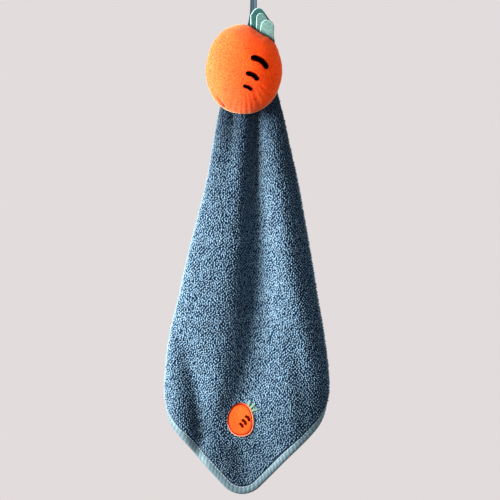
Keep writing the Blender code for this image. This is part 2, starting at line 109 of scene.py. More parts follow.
# The beds that the curls stand on: the flat drops at which they part, and how ragged the parting is
BED_SPLITS = (184.0, 266.0)
BED_RAGGED = 5.0
BED_SEED = 7
PILE_SEED = 3
# The fleece's painted shade, 0 to 255, by its place from the head's middle down to the tip: the head's shadow
# painted under its neck, and darker towards the tip
PAINTED_SHADES_DOWN = ((0.04, 142), (0.17, 206), (0.30, 240), (0.44, 255), (0.66, 255), (0.78, 236), (0.87, 214),
                 (0.94, 190))

# The cloth hangs in folds that all run out from one point near the hang point: the fan's point, how
# far above the cloth's tip it is on the flat, its half angle, and its steps and reach
FAN_X = -2.0
FAN_RISE = 4.0
TIP_REACH = 102.0
FAN_HALF_ANGLE = 0.66
FAN_STEPS = 1056
FAN_FIRST = 94.0
FAN_LAST = 566.0
FAN_LEVELS = 237
NORMAL_STEP = 1.5
# The cloth's cut at each drop: where its sides are, the depths of its sides and of its front, how
# square it is on the left and on the right, and where the cloth's middle line lies
SECTION_COLUMNS = ("drop", "left", "right", "side_y", "front_y", "left_square", "right_square", "middle")
SECTION_ROWS = (
    (98, -28, 19, 33, 24, 5, 5, -3), (112, -29, 21, 33, 24, 5, 5, -3),
    (125, -29.5, 23, 32.5, 23.5, 4.5, 4.5, -3), (139, -31, 25.5, 30, 20.8, 4, 4.2, -3),
    (152, -33.5, 28, 25, 14.5, 3.2, 3.8, -3), (165, -36, 30.5, 19.5, 7, 2.7, 3.5, -3),
    (180, -38.5, 33.5, 14.5, 1, 2.4, 3.4, -3.2), (195, -41, 36.5, 11, -4, 2.2, 3.4, -3.5),
    (225, -46, 43, 7.5, -9, 2, 3.4, -4), (295, -63, 55.5, 5.5, -13, 2, 3.4, -5),
    (345, -74, 63.5, 5, -14, 2, 3.4, -6.5), (395, -85, 71.5, 5, -16, 2, 3.2, -8),
    (425, -88.5, 75, 5.5, -18, 2, 3, -9), (445, -89.5, 75.5, 6, -20, 2, 2.8, -9.5),
    (470, -85.5, 71, 6.5, -22, 2, 2.5, -10.5), (500, -81, 69, 6, -20, 2, 2.2, -11),
    (560, -80, 68, 5, -13, 2, 2, -12),
)
# Folds in the front: drop, place across, reach to the left and to the right, and depth
FOLDS = {
    "main_valley": (
        (130, 2, 6, 6, 0), (150, 2.5, 6.5, 7, 7), (175, 2, 8, 9, 13),
        (225, 1, 10.5, 12, 17), (295, 1.5, 14, 17, 18), (345, 1.5, 18, 21, 18),
        (385, -1, 20, 27, 16), (425, -9, 19, 30, 12.5), (465, -26, 15, 26, 6.5),
        (495, -32, 12, 20, 2), (530, -40, 9, 14, 0),
    ),
    "right_ridge": (
        (145, 17, 6, 6, 0), (170, 19, 6, 7, -2), (225, 25, 8, 9, -3),
        (295, 33, 10, 11, -4), (345, 40, 13, 12, -4.5), (395, 46, 16, 13, -4),
        (440, 47, 18, 14, -3), (480, 47, 18, 14, 0),
    ),
    "lower_hollow": (
        (410, -20, 24, 36, 0), (440, -13, 32, 36, 6), (460, -9, 40, 36, 12),
        (480, -5, 46, 36, 17), (500, -1, 48, 36, 17), (520, 2, 46, 34, 10),
        (550, 2, 46, 34, 2),
    ),
    "upper_left_valley": (
        (142, -19, 5, 5, 0), (158, -20, 6, 5.5, 4.5), (185, -22, 8, 7, 4),
        (230, -26, 9, 8, 1.5), (265, -28, 9, 8, 0),
    ),
    "left_hollow": (
        (370, -72, 9, 12, 0), (400, -66, 12, 15, 5), (430, -59, 13, 17, 10),
        (460, -56, 11, 16, 11), (480, -55, 9, 14, 11), (500, -54, 8, 9, 6),
        (515, -52, 8, 9, 0),
    ),
    "right_hollow": (
        (330, 36, 8, 8, 0), (370, 38, 9, 9, 2), (420, 46, 10, 9, 3.5),
        (465, 50, 10, 9, 2), (500, 50, 10, 9, 0),
    ),
    "tip_hollow": (
        (485, -18, 10, 9, 0), (505, -12, 12, 10, 3.5), (535, -9, 11, 10, 0),
    ),
}
# The side corners' waves behind: drop, cloth in one wave, how far it turns, and how it leans
WAVE_COLUMNS = ("drop", "wave", "swing", "lean")
BACK_WAVES = {
    "left": (
        (125, 62, 1.42, 0.15), (165, 66, 1.40, 0.30), (200, 66, 1.40, 0.30),
        (240, 66, 1.44, 0.24), (280, 70, 1.46, 0.20), (320, 77, 1.48, 0.21),
        (360, 85, 1.49, 0.21), (400, 93, 1.49, 0.21), (460, 105, 1.48, 0.18),
    ),
    "right": (
        (125, 58, 1.42, 0.15), (165, 60, 1.40, 0.30), (200, 58, 1.40, 0.30),
        (240, 57, 1.42, 0.24), (280, 60, 1.44, 0.20), (320, 66, 1.46, 0.21),
        (360, 73, 1.47, 0.23), (400, 80, 1.47, 0.26), (460, 90, 1.46, 0.20),
    ),
}
# How far a side corner's path runs and its step, the points across the front and how round it is,
# and how soon the folds reach their depth from the sides
BACK_RUN = 260.0
SECTION_STEP = 0.5
FRONT_STEPS = 481
FRONT_ROUND = 0.8
FOLD_FADE = 3.0

# The binding, as inset from the edge and height off the cloth's middle, round one face. Its ribs
# rise more at the round corners, and their pitch and rise waver in a few waves round the rim.
BINDING_PROFILE = ((7.0, 0.85), (6.1, 1.3), (4.0, 1.7), (2.0, 1.45), (0.6, 0.85), (0.0, 0.0))
BINDING_STATIONS = 400
RIB_PITCH = 4.6
RIB_PITCH_WAVES = (19, 31, 47)
RIB_PITCH_WAVER = 1.1
RIB_RISE = 0.16
RIB_RISE_WAVES = (13, 23, 37)
RIB_RISE_SPAN = (0.75, 0.45)
CORNER_RIB_RISE = 0.42
CORNER_FROM = 0.86
CORNER_FADE = 0.08
# How far a dent between ribs draws in the rim and lowers the face, as shares of its rise, and the
# painted shade of the ribs on the faces and at the rim, darker in the dents: its least and its span
RIM_DENT = 0.7
RIB_LEVEL = 0.6
RIB_PAINTED_SHADE = (0.35, 0.65)
RIM_PAINTED_SHADE = (0.3, 0.4)
# A stitch's thread: places along it with shares of its thickness
STITCH_ENDS = 0.35
STITCH_SHAPE = ((-0.5, STITCH_ENDS), (-0.25, 0.9), (0.25, 0.9), (0.5, STITCH_ENDS))
STITCH_SIDES = 5
STITCH_INSET = 6.4
STITCH_LIFT = 1.28
STITCH_PITCH = 3.0
STITCH_COVER = 0.86
STITCH_AHEAD = 0.8

# The stuffed head: its middle, its half sizes, and how its section rounds from rim to face
HEAD_X = -9.5
HEAD_DROP = 114.0
HEAD_HALF_WIDTH = 39.0
HEAD_HALF_HEIGHT = 45.3
HEAD_HALF_DEPTH = 22.0
HEAD_FACE_POWER = 1.6
HEAD_RIM_POWER = 0.46
HEAD_RINGS = 64
HEAD_SIDES = 240
SEAM_HALF_WIDTH = 1.1
SEAM_DEPTH = 0.55
# Soft swells under the plush: rise, its run along x and z, a seed and wave lengths
HEAD_SWELLS = ((0.35, 1.0, 0.7, 5, (31.0, 47.0)), (0.3, -0.6, 1.0, 6, (27.0, 53.0)))
SWELL_SHARE = 0.8
# The pucker at the lower left: its ends as x and z, half width, depth, and its share at the first end
PUCKER_ENDS = ((-36.6, -142.6), (-29.6, -152.6))
PUCKER_HALF_WIDTH = 1.1
PUCKER_DEPTH = 1.3
PUCKER_LEAST = 0.45
# How a pleat deepens out to the seam, and fades again at it: powers and share
PLEAT_POWER = 1.2
PLEAT_END = 0.8
PLEAT_END_POWER = 7
# Painted shade: how dark the pleats and the seam are painted, and where painted shade darkens the plush
# round the leaves' roots: an angle and a depth in front of the seam, each with its spread
PLEAT_SHADE = 0.32
SEAM_SHADE = 0.3
ROOT_SHADE = (62.0, 26.0, 1.8, 3.4)
# Painted light on the plush, paler on its left where the key lamp falls: its share in the head's middle, and
# its fall to the right and upwards
NAP_PAINTED_LIGHT = (0.36, 0.75, 0.22)
# Bumps of the head's outline: angle round the head and spread in degrees, and rise
BUMP_FADE = 2
HEAD_BUMPS = {
    "leaf_seam": (66.0, 17.0, -4.2),
    "upper_right": (22.0, 14.0, -1.2),
    "upper_left": (158.0, 16.0, -1.2),
    "lower_left": (238.0, 16.0, 1.3),
    "lower_right": (300.0, 16.0, 0.8),
}

# Felt leaves, how finely they're cut, and the gap between a root and the head's seam
LEAF_THICK = 1.3
LEAF_SIDES = 120
LEAF_PARTS = 6
LEAF_ROOT_STEPS = 19
ROOT_GAP = 0.45
# A leaf's cut edge: inset, share of its half thickness, and share of the cut's pale colour; the
# rings inside it; and the side from which a painted highlight makes the cut paler, with its gain and mean
LEAF_EDGE = ((0.0, 0.0, 1.0), (0.10, 0.55, 1.0), (0.30, 0.88, 0.9), (0.65, 1.0, 0.3), (1.1, 1.0, 0.0))
LEAF_INSET = 1.3
LEAF_RINGS = (0.85, 0.70, 0.40)
CUT_HIGHLIGHT_SIDE = (0.75, 0.66)
CUT_HIGHLIGHT_GAIN = 1.4
CUT_HIGHLIGHT_MEAN = 0.35
# Each leaf's plane, its outline over the top as across and drop, and its root's ends
LEAVES = {
    "leaf_back": (0.1, ((-3.0, 60.0), (0.5, 55.0), (3.5, 53.0), (5.5, 52.5), (9.5, 55.0), (16.0, 64.5),
                        (19.5, 67.5)), (-3.0, 20.5)),
    "leaf_middle": (-1.6, ((3.0, 62.0), (4.5, 59.5), (7.0, 58.3), (10.5, 59.7), (15.0, 66.5),
                           (20.0, 72.0)), (2.5, 20.8)),
    "leaf_front": (-3.3, ((7.8, 69.0), (10.0, 66.3), (12.5, 65.4), (16.5, 66.3), (20.0, 69.5),
                          (20.6, 75.0), (20.2, 80.5), (21.5, 87.0)), (6.0, 21.0)),
}
# One felt: the leaves further back are painted darker, as the shade that falls on them
LEAF_SHADED_FACES = {"leaf_back": (44, 80, 78), "leaf_middle": (80, 112, 108), "leaf_front": (100, 132, 126)}
# How far above its root a leaf is darkened by painted shade where it meets the head
LEAF_ROOT_SHADE_REACH = 2.6

# The strap: its front strand upwards, as depth and drop, and its back strand downwards, as across,
# depth and drop; between them it runs round the eye
STRAP_WIDTH = 5.0
STRAP_THICK = 1.1
LOOP_RADIUS = 6.0
EYE_START = -18.0
STRAP_FRONT_X = 1.0
STRAP_BACK_X = -0.8
STRAP_FRONT = ((1.8, 74.0), (1.8, 64.0), (1.5, 48.0), (0.2, 33.0), (-3.2, 18.0))
STRAP_BACK = ((-0.8, 4.6, 18.0), (-0.8, 3.0, 33.0), (-0.9, 3.1, 48.0), (-1.5, 3.3, 60.0),
              (-3.9, 3.35, 71.0))
EYE_STEPS = 10
STRAP_PARTS = 5
# Half of the tape's cut, as shares of its half width and half thickness; the rest mirrors it
STRAP_CUT = ((-1.0, 0.0), (-0.94, -0.75), (-0.80, -1.0), (-0.4, -0.88), (0.0, -0.84), (0.4, -0.88),
             (0.80, -1.0), (0.94, -0.75))

# The applique near the bottom corner: its flat place and tilt, half sizes, thickness and gap, and
# how full its oval is, but for a flatter place at the upper left
BADGE_U = -2.3
BADGE_D = 366.2
BADGE_HALF_WIDTH = 13.8
BADGE_HALF_HEIGHT = 16.8
BADGE_TILT = math.radians(-8.0)
BADGE_THICK = 1.4
BADGE_FULLNESS = 0.04
BADGE_FLAT = 0.06
BADGE_FLAT_AT = 138.0
BADGE_FLAT_SPREAD = 22.0
BADGE_GAP = 0.75
BADGE_SIDES = 96
BADGE_EDGE_THICK = 0.4
# Its cut from the middle out and back under: share of the outline, share of the rise, and painted shade of
# its pressed line
BADGE_CUT = ((0.15, 1.0, 0.0), (0.3, 1.0, 0.0), (0.45, 1.0, 0.0), (0.6, 0.98, 0.0), (0.72, 0.95, 0.0),
             (0.84, 0.86, 0.2), (0.885, 0.62, 0.8), (0.91, 0.50, 1.0), (0.935, 0.58, 0.6),
             (0.965, 0.66, 0.0), (0.985, 0.58, 0.0), (1.0, 0.32, 0.0), (0.99, 0.0, 0.0),
             (0.7, 0.0, 0.0), (0.35, 0.0, 0.0))
# The rim has a painted highlight at its lower right and a painted shadow at its upper left, from these shares
# of the outline out
BADGE_HIGHLIGHT_SIDE = math.radians(50.0)
BADGE_HIGHLIGHT_FROM = 0.95
BADGE_HIGHLIGHT_MEAN = 0.5
BADGE_SHADOW_FROM = 0.90
BADGE_SHADOW_MEAN = -0.1
BADGE_SHADOW_GAIN = 1.3
# Its overlock stitches: count, first and last angle, inner and outer ends, lift and length
BADGE_STITCHES = 48
BADGE_STITCH_ENDS = (-165.0, 65.0)
BADGE_STITCH_INNER = 0.965
BADGE_STITCH_OUTER = 1.04
BADGE_STITCH_LIFT = 0.15
BADGE_STITCH_LENGTH = 1.7

# The floor's disc
FLOOR_RADIUS = 260.0
FLOOR_DROP = 620.0
FLOOR_SIDES = 96
# The lamps, in metres and watts: place, target, size, power and colour; and the light from all round
LAMPS = {
    "key": ((-1.27, -0.51, -0.02), (0.0, 0.0, -0.25), 0.75, 100.0, (1.0, 0.99, 0.97)),
    "fill": ((0.85, -1.30, 0.0), (0.0, 0.0, -0.3), 1.0, 9.0, (1.0, 1.0, 1.0)),
    "back": ((0.5, 1.6, 0.1), (0.0, 0.0, -0.3), 1.0, 26.0, (1.0, 1.0, 1.0)),
}
AMBIENT = (226, 226, 230)
AMBIENT_POWER = 0.36

# The finishes: noise scales of the pile's broad patches, of the knitted ground and of the fibres'
# drift, how far light spreads in the plush, and how much of the fleece's painted shade by height the binding
# shares
WHITE = (1.0, 1.0, 1.0, 1.0)
PATCH_SCALE = 38.0
KNIT_SCALE = 420.0
DRIFT_SCALE = 60.0
PLUSH_GLOW = 34.0
TAPE_SHADE = 0.6
SHEEN_ROUGHNESS = 0.45
# How much tones vary, as a span and a least: from curl to curl, from patch to patch of the pile, and
# the plush's speckle from its painted shaded side to its painted lit side
CURL_TONE = (0.40, 0.77)
PATCH_TONE = (0.4, 0.8)
PLUSH_SPECKLE = (0.5, 2.1)


# ---------------- plain helpers

def rgb(r, g, b):
    """A colour as seen, 0 to 255, in the numbers that a shader takes."""
    out = []
    for c in (r, g, b):
        c /= 255.0
        out.append(c / 12.92 if c <= 0.04045 else ((c + 0.055) / 1.055) ** 2.4)
    return (*out, 1.0)


def new_object(name, data):
    """An object in the scene, from a mesh, a lamp or a camera."""
    obj = bpy.data.objects.new(name, data)
    bpy.context.scene.collection.objects.link(obj)
    return obj


def make_piece(name, points_mm, faces, material):
    """A smooth mesh piece from points in millimetres."""
    mesh = bpy.data.meshes.new(name)
    mesh.from_pydata((np.asarray(points_mm, float) * MM).tolist(), [], faces)
    mesh.materials.append(material)
    mesh.update()
    mesh.shade_smooth()
    return new_object(name, mesh)


def mark(obj, name, values, kind="FLOAT"):
    """Keep a number or an arrow for each point."""
    layer = obj.data.attributes.new(name, kind, "POINT")
    field = "value" if kind == "FLOAT" else "vector"
    layer.data.foreach_set(field, np.asarray(values, np.float32).ravel())


def settle(obj):
    """Turn a piece and its modifiers into one plain mesh."""
    bpy.context.view_layer.update()
    depsgraph = bpy.context.evaluated_depsgraph_get()
    mesh = bpy.data.meshes.new_from_object(obj.evaluated_get(depsgraph), preserve_all_data_layers=True,
                                           depsgraph=depsgraph)
    obj.modifiers.clear()
    obj.data = mesh


def discard(*objs):
    """Remove pieces that only helped to make others."""
    for obj in objs:
        bpy.data.objects.remove(obj, do_unlink=True)


def tube(rings, closed=False):
    """Faces of a skin over rings of equal count; its ends are closed unless it runs round."""
    count = len(rings[0])
    faces = []
    last = len(rings) if closed else len(rings) - 1
    for r in range(last):
        here = r * count
        after = ((r + 1) % len(rings)) * count
        for k in range(count):
            m = (k + 1) % count
            faces.append((here + k, here + m, after + m, after + k))
    if not closed:
        end = (len(rings) - 1) * count
        faces.append(tuple(range(count))[::-1])
        faces.append(tuple(range(end, end + count)))
    return faces


def smooth_table(at, knots, values):
    """Smooth curve through a table's rows, flat beyond its ends."""
    knots = np.asarray(knots, float)
    values = np.asarray(values, float)
    at = np.clip(at, knots[0], knots[-1])
    slopes = np.gradient(values, knots)
    index = np.clip(np.searchsorted(knots, at) - 1, 0, len(knots) - 2)
    span = knots[index + 1] - knots[index]
    t = (at - knots[index]) / span
    start = (2 * t**3 - 3 * t**2 + 1) * values[index] + (t**3 - 2 * t**2 + t) * span * slopes[index]
    end = (3 * t**2 - 2 * t**3) * values[index + 1] + (t**3 - t**2) * span * slopes[index + 1]
    return start + end


def smooth_run(knots, parts):
    """Points along a smooth curve through a few knots."""
    knots = [np.array(k, float) for k in knots]
    run = []
    for k in range(len(knots) - 1):
        before = knots[max(k - 1, 0)]
        start = knots[k]
        end = knots[k + 1]
        after = knots[min(k + 2, len(knots) - 1)]
        for part in range(parts):
            t = part / parts
            run.append(0.5 * (2 * start + (end - before) * t
                              + (2 * before - 5 * start + 4 * end - after) * t**2
                              + (3 * start - before - 3 * end + after) * t**3))
    run.append(knots[-1])
    return np.array(run)


def bell(away, width, power=2):
    """1 at no distance, fading smoothly to 0 beyond a width."""
    return np.exp(-((away / width) ** power))


def distances(steps):
    """How far each point of a line is along it, from the steps between its points."""
    return np.concatenate(((0.0,), np.cumsum(steps)))


def waver(values, seed, waves):
    """A smooth uneven line of about -1 to 1, the same each run: waves are its lengths."""
    dice = np.random.default_rng(seed)
    total = np.zeros_like(values)
    for wave in waves:
        total += np.sin(2 * math.pi * values / wave + dice.uniform(0, 2 * math.pi))
    return total / len(waves)


# ---------------- how the cloth hangs

def at_level(drop, columns, rows, name):
    """A table's column at a drop, which is its first column."""
    table = np.array(rows)
    return float(smooth_table(drop, table[:, 0], table[:, columns.index(name)]))


def section_size(name, drop):
    """One of the section's sizes at a drop."""
    return at_level(drop, SECTION_COLUMNS, SECTION_ROWS, name)


def fold_depth(across, drop):
    """How far all the front's folds push the cloth back."""
    total = np.zeros_like(across)
    for rows in FOLDS.values():
        drops, places, left_reach, right_reach, depths = zip(*rows)
        if drop <= drops[0] or drop >= drops[-1]:
            continue
        place = smooth_table(drop, drops, places)
        depth = smooth_table(drop, drops, depths)
        reach = np.where(across < place, smooth_table(drop, drops, left_reach),
                         smooth_table(drop, drops, right_reach))
        total += depth * bell(across - place, reach)
    return total


def back_wave(side, drop):
    """A side corner's path across the back, from the side inwards."""
    wave, swing, lean = (at_level(drop, WAVE_COLUMNS, BACK_WAVES[side], name) for name in WAVE_COLUMNS[1:])
    steps = np.arange(0.0, BACK_RUN, SECTION_STEP)
    heading = lean + swing * np.cos(2.0 * math.pi * steps / wave)
    return np.cumsum(np.cos(heading)) * SECTION_STEP, np.cumsum(np.sin(heading)) * SECTION_STEP


def section(reach):
    """The cloth's cut through all its layers at one distance from the fan's point."""
    drop = reach - FAN_RISE
    skin = CLOTH_THICK / 2.0
    left = section_size("left", drop) + skin
    right = section_size("right", drop) - skin
    side_y = section_size("side_y", drop)
    spread = np.sin(np.linspace(-math.pi / 2, math.pi / 2, FRONT_STEPS))
    square = np.where(spread < 0.0, section_size("left_square", drop), section_size("right_square", drop))
    forward = np.sqrt(np.maximum(0.0, 1.0 - np.abs(spread) ** square))
    across = (left + right) / 2.0 + (right - left) / 2.0 * spread
    depth = side_y - (side_y - section_size("front_y", drop)) * forward**FRONT_ROUND
    depth = depth + fold_depth(across, drop) * np.minimum(1.0, forward * FOLD_FADE)
    left_in, left_back = back_wave("left", drop)
    right_in, right_back = back_wave("right", drop)
    xs = np.concatenate(((left + left_in)[::-1], across, right - right_in))
    ys = np.concatenate(((side_y + left_back)[::-1], depth, side_y + right_back))
    lengths = distances(np.hypot(np.diff(xs), np.diff(ys)))
    front = slice(len(left_in), len(left_in) + len(across))
    return xs, ys, lengths - np.interp(section_size("middle", drop), across, lengths[front])


def build_fan():
    """The whole fold map: a place for each distance and angle from the fan's point."""
    angles = np.linspace(-FAN_HALF_ANGLE, FAN_HALF_ANGLE, FAN_STEPS + 1)
    places = np.zeros((FAN_LEVELS, FAN_STEPS + 1, 3))
    for row, reach in enumerate(np.linspace(FAN_FIRST, FAN_LAST, FAN_LEVELS)):
        xs, ys, lengths = section(reach)
        across = np.interp(angles * reach, lengths, xs)
        depth = np.interp(angles * reach, lengths, ys)
        places[row, :, 0] = across
        places[row, :, 1] = depth
        places[row, :, 2] = FAN_RISE - np.sqrt(reach**2 - (across - FAN_X) ** 2 - (depth / 2.0) ** 2)
    return places


def fan_place(fan, u, d):
    """Where flat points of the cloth hang: u across from its middle line, d down from its tip."""
    from_point = d + TIP_REACH
    reach = np.hypot(u, from_point)
    row = np.clip((reach - FAN_FIRST) / (FAN_LAST - FAN_FIRST) * (FAN_LEVELS - 1), 0, FAN_LEVELS - 1.001)
    col = (np.arctan2(u, from_point) + FAN_HALF_ANGLE) / (2.0 * FAN_HALF_ANGLE) * FAN_STEPS
    col = np.clip(col, 0, FAN_STEPS - 0.001)
    i = row.astype(int)
    j = col.astype(int)
    s = (row - i)[..., None]
    t = (col - j)[..., None]
    near = fan[i, j] * (1 - t) + fan[i, j + 1] * t
    far = fan[i + 1, j] * (1 - t) + fan[i + 1, j + 1] * t
    return near * (1 - s) + far * s


def cloth_normal(fan, u, d):
    """Which way the cloth's front faces at flat points."""
    along = fan_place(fan, u + NORMAL_STEP, d) - fan_place(fan, u - NORMAL_STEP, d)
    down = fan_place(fan, u, d + NORMAL_STEP) - fan_place(fan, u, d - NORMAL_STEP)
    normal = np.cross(down, along)
    return normal / np.linalg.norm(normal, axis=-1, keepdims=True)


def hang(fan, u, d, lift):
    """Flat points hung in the folds and lifted off the cloth's middle towards its front."""
    return fan_place(fan, u, d) + cloth_normal(fan, u, d) * np.asarray(lift)[..., None]


def rounded_square(p, q, inset):
    """Points -1 to 1 each way, on concentric squares with round corners, as across and down."""
    half = CLOTH_SIDE / 2.0 - inset
    scale = np.maximum(np.abs(p), np.abs(q))
    side = half * scale
    corner = np.minimum((CORNER_RADIUS - inset) * scale**3, side)
    small = np.minimum(np.abs(p), np.abs(q)) / np.maximum(scale, 1e-9) * side
    over = small - side + corner
    turn = math.radians(45.0) * np.maximum(over, 0.0) / np.maximum(corner, 1e-9)
    big = np.where(over > 0, side - corner + corner * np.cos(turn), side)
    small = np.where(over > 0, side - corner + corner * np.sin(turn), small)
    x = np.copysign(np.where(np.abs(p) >= np.abs(q), big, small), p)
    y = np.copysign(np.where(np.abs(p) >= np.abs(q), small, big), q)
    return (x - y) / math.sqrt(2.0), (x + y) / math.sqrt(2.0) + CLOTH_SIDE / math.sqrt(2.0)


def rim_run(stations):
    """Points in order round the square's rim, -1 to 1 each way, a number of stations a side."""
    up = np.linspace(-1.0, 1.0, stations, endpoint=False)
    one = np.ones(stations)
    return np.concatenate((up, one, -up, -one)), np.concatenate((-one, up, one, -up))


# ---------------- node trees

def new_tree(name, kind, inputs, outputs):
    """A node group with named sockets: inputs and outputs are (name, socket kind, default)."""
    tree = bpy.data.node_groups.new(name, kind)
    for way, sockets in (("INPUT", inputs), ("OUTPUT", outputs)):
        for label, socket, default in sockets:
            made = tree.interface.new_socket(label, in_out=way, socket_type=socket)
            if default is not None:
                made.default_value = default
    return tree, tree.nodes.new("NodeGroupInput").outputs, tree.nodes.new("NodeGroupOutput").inputs


def feed(tree, socket, value):
    """Give a socket its input, as a value or as a link."""
    if isinstance(value, bpy.types.NodeSocket):
        tree.links.new(value, socket)
    else:
        socket.default_value = value


def add(tree, kind, settings=None, **wires):
    """One node: settings are its properties, and wires its inputs, by name or by number as in0."""
    node = tree.nodes.new(kind)
    for key, value in (settings or {}).items():
        setattr(node, key, value)
    for key, value in wires.items():
        number = key[2:] if key.startswith("in") else ""
        socket = node.inputs[int(number) if number.isdigit() else key.replace("_", " ")]
        feed(tree, socket, value)
    return node


def maths(tree, operation, a, b, c=0.0):
    """A sum on two or three numbers."""
    return add(tree, "ShaderNodeMath", {"operation": operation}, in0=a, in1=b, in2=c).outputs[0]


def mix(tree, share, a, b, blend="MIX"):
    """One colour laid over another."""
    node = add(tree, "ShaderNodeMix", {"data_type": "RGBA", "blend_type": blend}, in0=share, in6=a, in7=b)
    return node.outputs[2]


def shaded(tree, colour, light):
    """A colour made lighter or darker by a number."""
    grey = add(tree, "ShaderNodeCombineXYZ", X=light, Y=light, Z=light)
    return mix(tree, 1.0, colour, grey.outputs[0], "MULTIPLY")


def ramp(tree, share, *stops):
    """Colours by a number from 0 to 1."""
    node = tree.nodes.new("ShaderNodeValToRGB")
    tree.links.new(share, node.inputs[0])
    while len(node.color_ramp.elements) < len(stops):
        node.color_ramp.elements.new(0.5)
    for element, (place, colour) in zip(node.color_ramp.elements, stops):
        element.position = place
        element.color = colour
    return node.outputs[0]


def noise(tree, where, scale, detail=3.0, roughness=0.55):
    """Soft clouds of 0 to 1."""
    return add(tree, "ShaderNodeTexNoise", Vector=where, Scale=scale, Detail=detail,
               Roughness=roughness).outputs["Fac"]


def set_inputs(modifier, **values):
    """Give a node modifier its inputs by their sockets' own identifiers."""
    for item in modifier.node_group.interface.items_tree:
        if item.item_type == "SOCKET" and item.in_out == "INPUT":
            key = item.name.replace(" ", "_").lower()
            if key in values:
                modifier[item.identifier] = values[key]


def point_value(tree, name, kind="FLOAT"):
    """A point's own number or arrow, by its name."""
    return add(tree, "GeometryNodeInputNamedAttribute", {"data_type": kind}, Name=name).outputs[0]


def random_value(tree, seed, kind, least, most):
    """A number, arrow or whole number drawn for each point."""
    first = {"FLOAT_VECTOR": 0, "FLOAT": 2, "INT": 4}[kind]
    ends = {f"in{first}": least, f"in{first + 1}": most}
    node = add(tree, "FunctionNodeRandomValue", {"data_type": kind}, Seed=seed, **ends)
    return node.outputs[first // 2]


def spun(tree, rotation, angle):
    """A rotation with a turn about its own upright added."""
    turn = add(tree, "FunctionNodeAxisAngleToRotation", Axis=(0.0, 0.0, 1.0), Angle=angle)
    return add(tree, "FunctionNodeRotateRotation", {"rotation_space": "LOCAL"}, Rotation=rotation,
               Rotate_By=turn.outputs[0]).outputs[0]


def realized(tree, instances, finish):
    """Real faces in one finish, from instances."""
    whole = add(tree, "GeometryNodeRealizeInstances", Geometry=instances)
    return add(tree, "GeometryNodeSetMaterial", Geometry=whole.outputs[0], Material=finish).outputs[0]


def tree_pile():
    """Curls strewn over a cloth face, lying this way and that."""
    tree, given, out = new_tree("pile_curls", "GeometryNodeTree", (
        ("Face", "NodeSocketGeometry", None),
        ("Curls", "NodeSocketCollection", None),
        ("Spacing", "NodeSocketFloat", CURL_SPACING * MM),
        ("Density", "NodeSocketFloat", CURL_DENSITY),
        ("Lie Scale", "NodeSocketFloat", CURL_LIE_SCALE),
        ("Seed", "NodeSocketInt", 0),
        ("Finish", "NodeSocketMaterial", None),
    ), (("Pile", "NodeSocketGeometry", None),))
    strewn = add(tree, "GeometryNodeDistributePointsOnFaces", {"distribute_method": "POISSON"},
                 Mesh=given["Face"], Seed=given["Seed"], Distance_Min=given["Spacing"],
                 Density_Max=given["Density"])
    seed = given["Seed"]
    here = tree.nodes.new("GeometryNodeInputPosition").outputs[0]
    lie = noise(tree, here, given["Lie Scale"], 1.0)
    stray = random_value(tree, seed, "FLOAT", CURL_ROW_TURN - CURL_STRAY, CURL_ROW_TURN + CURL_STRAY)
    spin = maths(tree, "MULTIPLY_ADD", maths(tree, "SUBTRACT", lie, 0.5), CURL_DRIFT, stray)
    faced = spun(tree, strewn.outputs["Rotation"], spin)
    size = random_value(tree, seed, "FLOAT_VECTOR", CURL_LEAST, CURL_MOST)
    brushed = point_value(tree, "brushed")
    spread = maths(tree, "MULTIPLY_ADD", brushed, BRUSH_SPREAD, 1.0)
    upright = maths(tree, "MULTIPLY_ADD", brushed, -BRUSH_FLAT, 1.0)
    pressed = add(tree, "ShaderNodeCombineXYZ", X=spread, Y=spread, Z=upright)
    sized = add(tree, "ShaderNodeVectorMath", {"operation": "MULTIPLY"}, in0=size, in1=pressed.outputs[0])
    pick = random_value(tree, seed, "INT", 0, len(CURL_LINES) - 1)
    shapes = add(tree, "GeometryNodeCollectionInfo", Collection=given["Curls"],
                 Separate_Children=True, Reset_Children=True)
    placed = add(tree, "GeometryNodeInstanceOnPoints", Points=strewn.outputs["Points"],
                 Instance=shapes.outputs[0], Pick_Instance=True, Instance_Index=pick, Rotation=faced,
                 Scale=sized.outputs[0])
    shade = random_value(tree, seed, "FLOAT", 0.0, 1.0)
    kept = add(tree, "GeometryNodeStoreNamedAttribute", {"data_type": "FLOAT", "domain": "INSTANCE"},
               Geometry=placed.outputs[0], Name="curl_tone", Value=shade)
    tree.links.new(realized(tree, kept.outputs[0], given["Finish"]), out["Pile"])
    return tree


def tree_stitches():
    """One stitch on each point, along its 'along' arrow and standing on its 'out' arrow."""
    tree, given, out = new_tree("stitches", "GeometryNodeTree", (
        ("Points", "NodeSocketGeometry", None),
        ("Stitch", "NodeSocketObject", None),
        ("Uneven", "NodeSocketFloat", 0.08),
        ("Seed", "NodeSocketInt", 0),
        ("Finish", "NodeSocketMaterial", None),
    ), (("Stitches", "NodeSocketGeometry", None),))
    turned = add(tree, "FunctionNodeAxesToRotation", {"primary_axis": "Z", "secondary_axis": "X"},
                 Primary_Axis=point_value(tree, "out", "FLOAT_VECTOR"),
                 Secondary_Axis=point_value(tree, "along", "FLOAT_VECTOR"))
    uneven = given["Uneven"]
    stray = random_value(tree, given["Seed"], "FLOAT", maths(tree, "MULTIPLY", uneven, -1.0), uneven)
    size = add(tree, "ShaderNodeCombineXYZ", X=point_value(tree, "length"), Y=1.0, Z=1.0)
    shape = add(tree, "GeometryNodeObjectInfo", Object=given["Stitch"])
    placed = add(tree, "GeometryNodeInstanceOnPoints", Points=given["Points"],
                 Instance=shape.outputs["Geometry"], Rotation=spun(tree, turned.outputs[0], stray),
                 Scale=size.outputs[0])
    tree.links.new(realized(tree, placed.outputs[0], given["Finish"]), out["Stitches"])
    return tree


# ---------------- shared surface effects

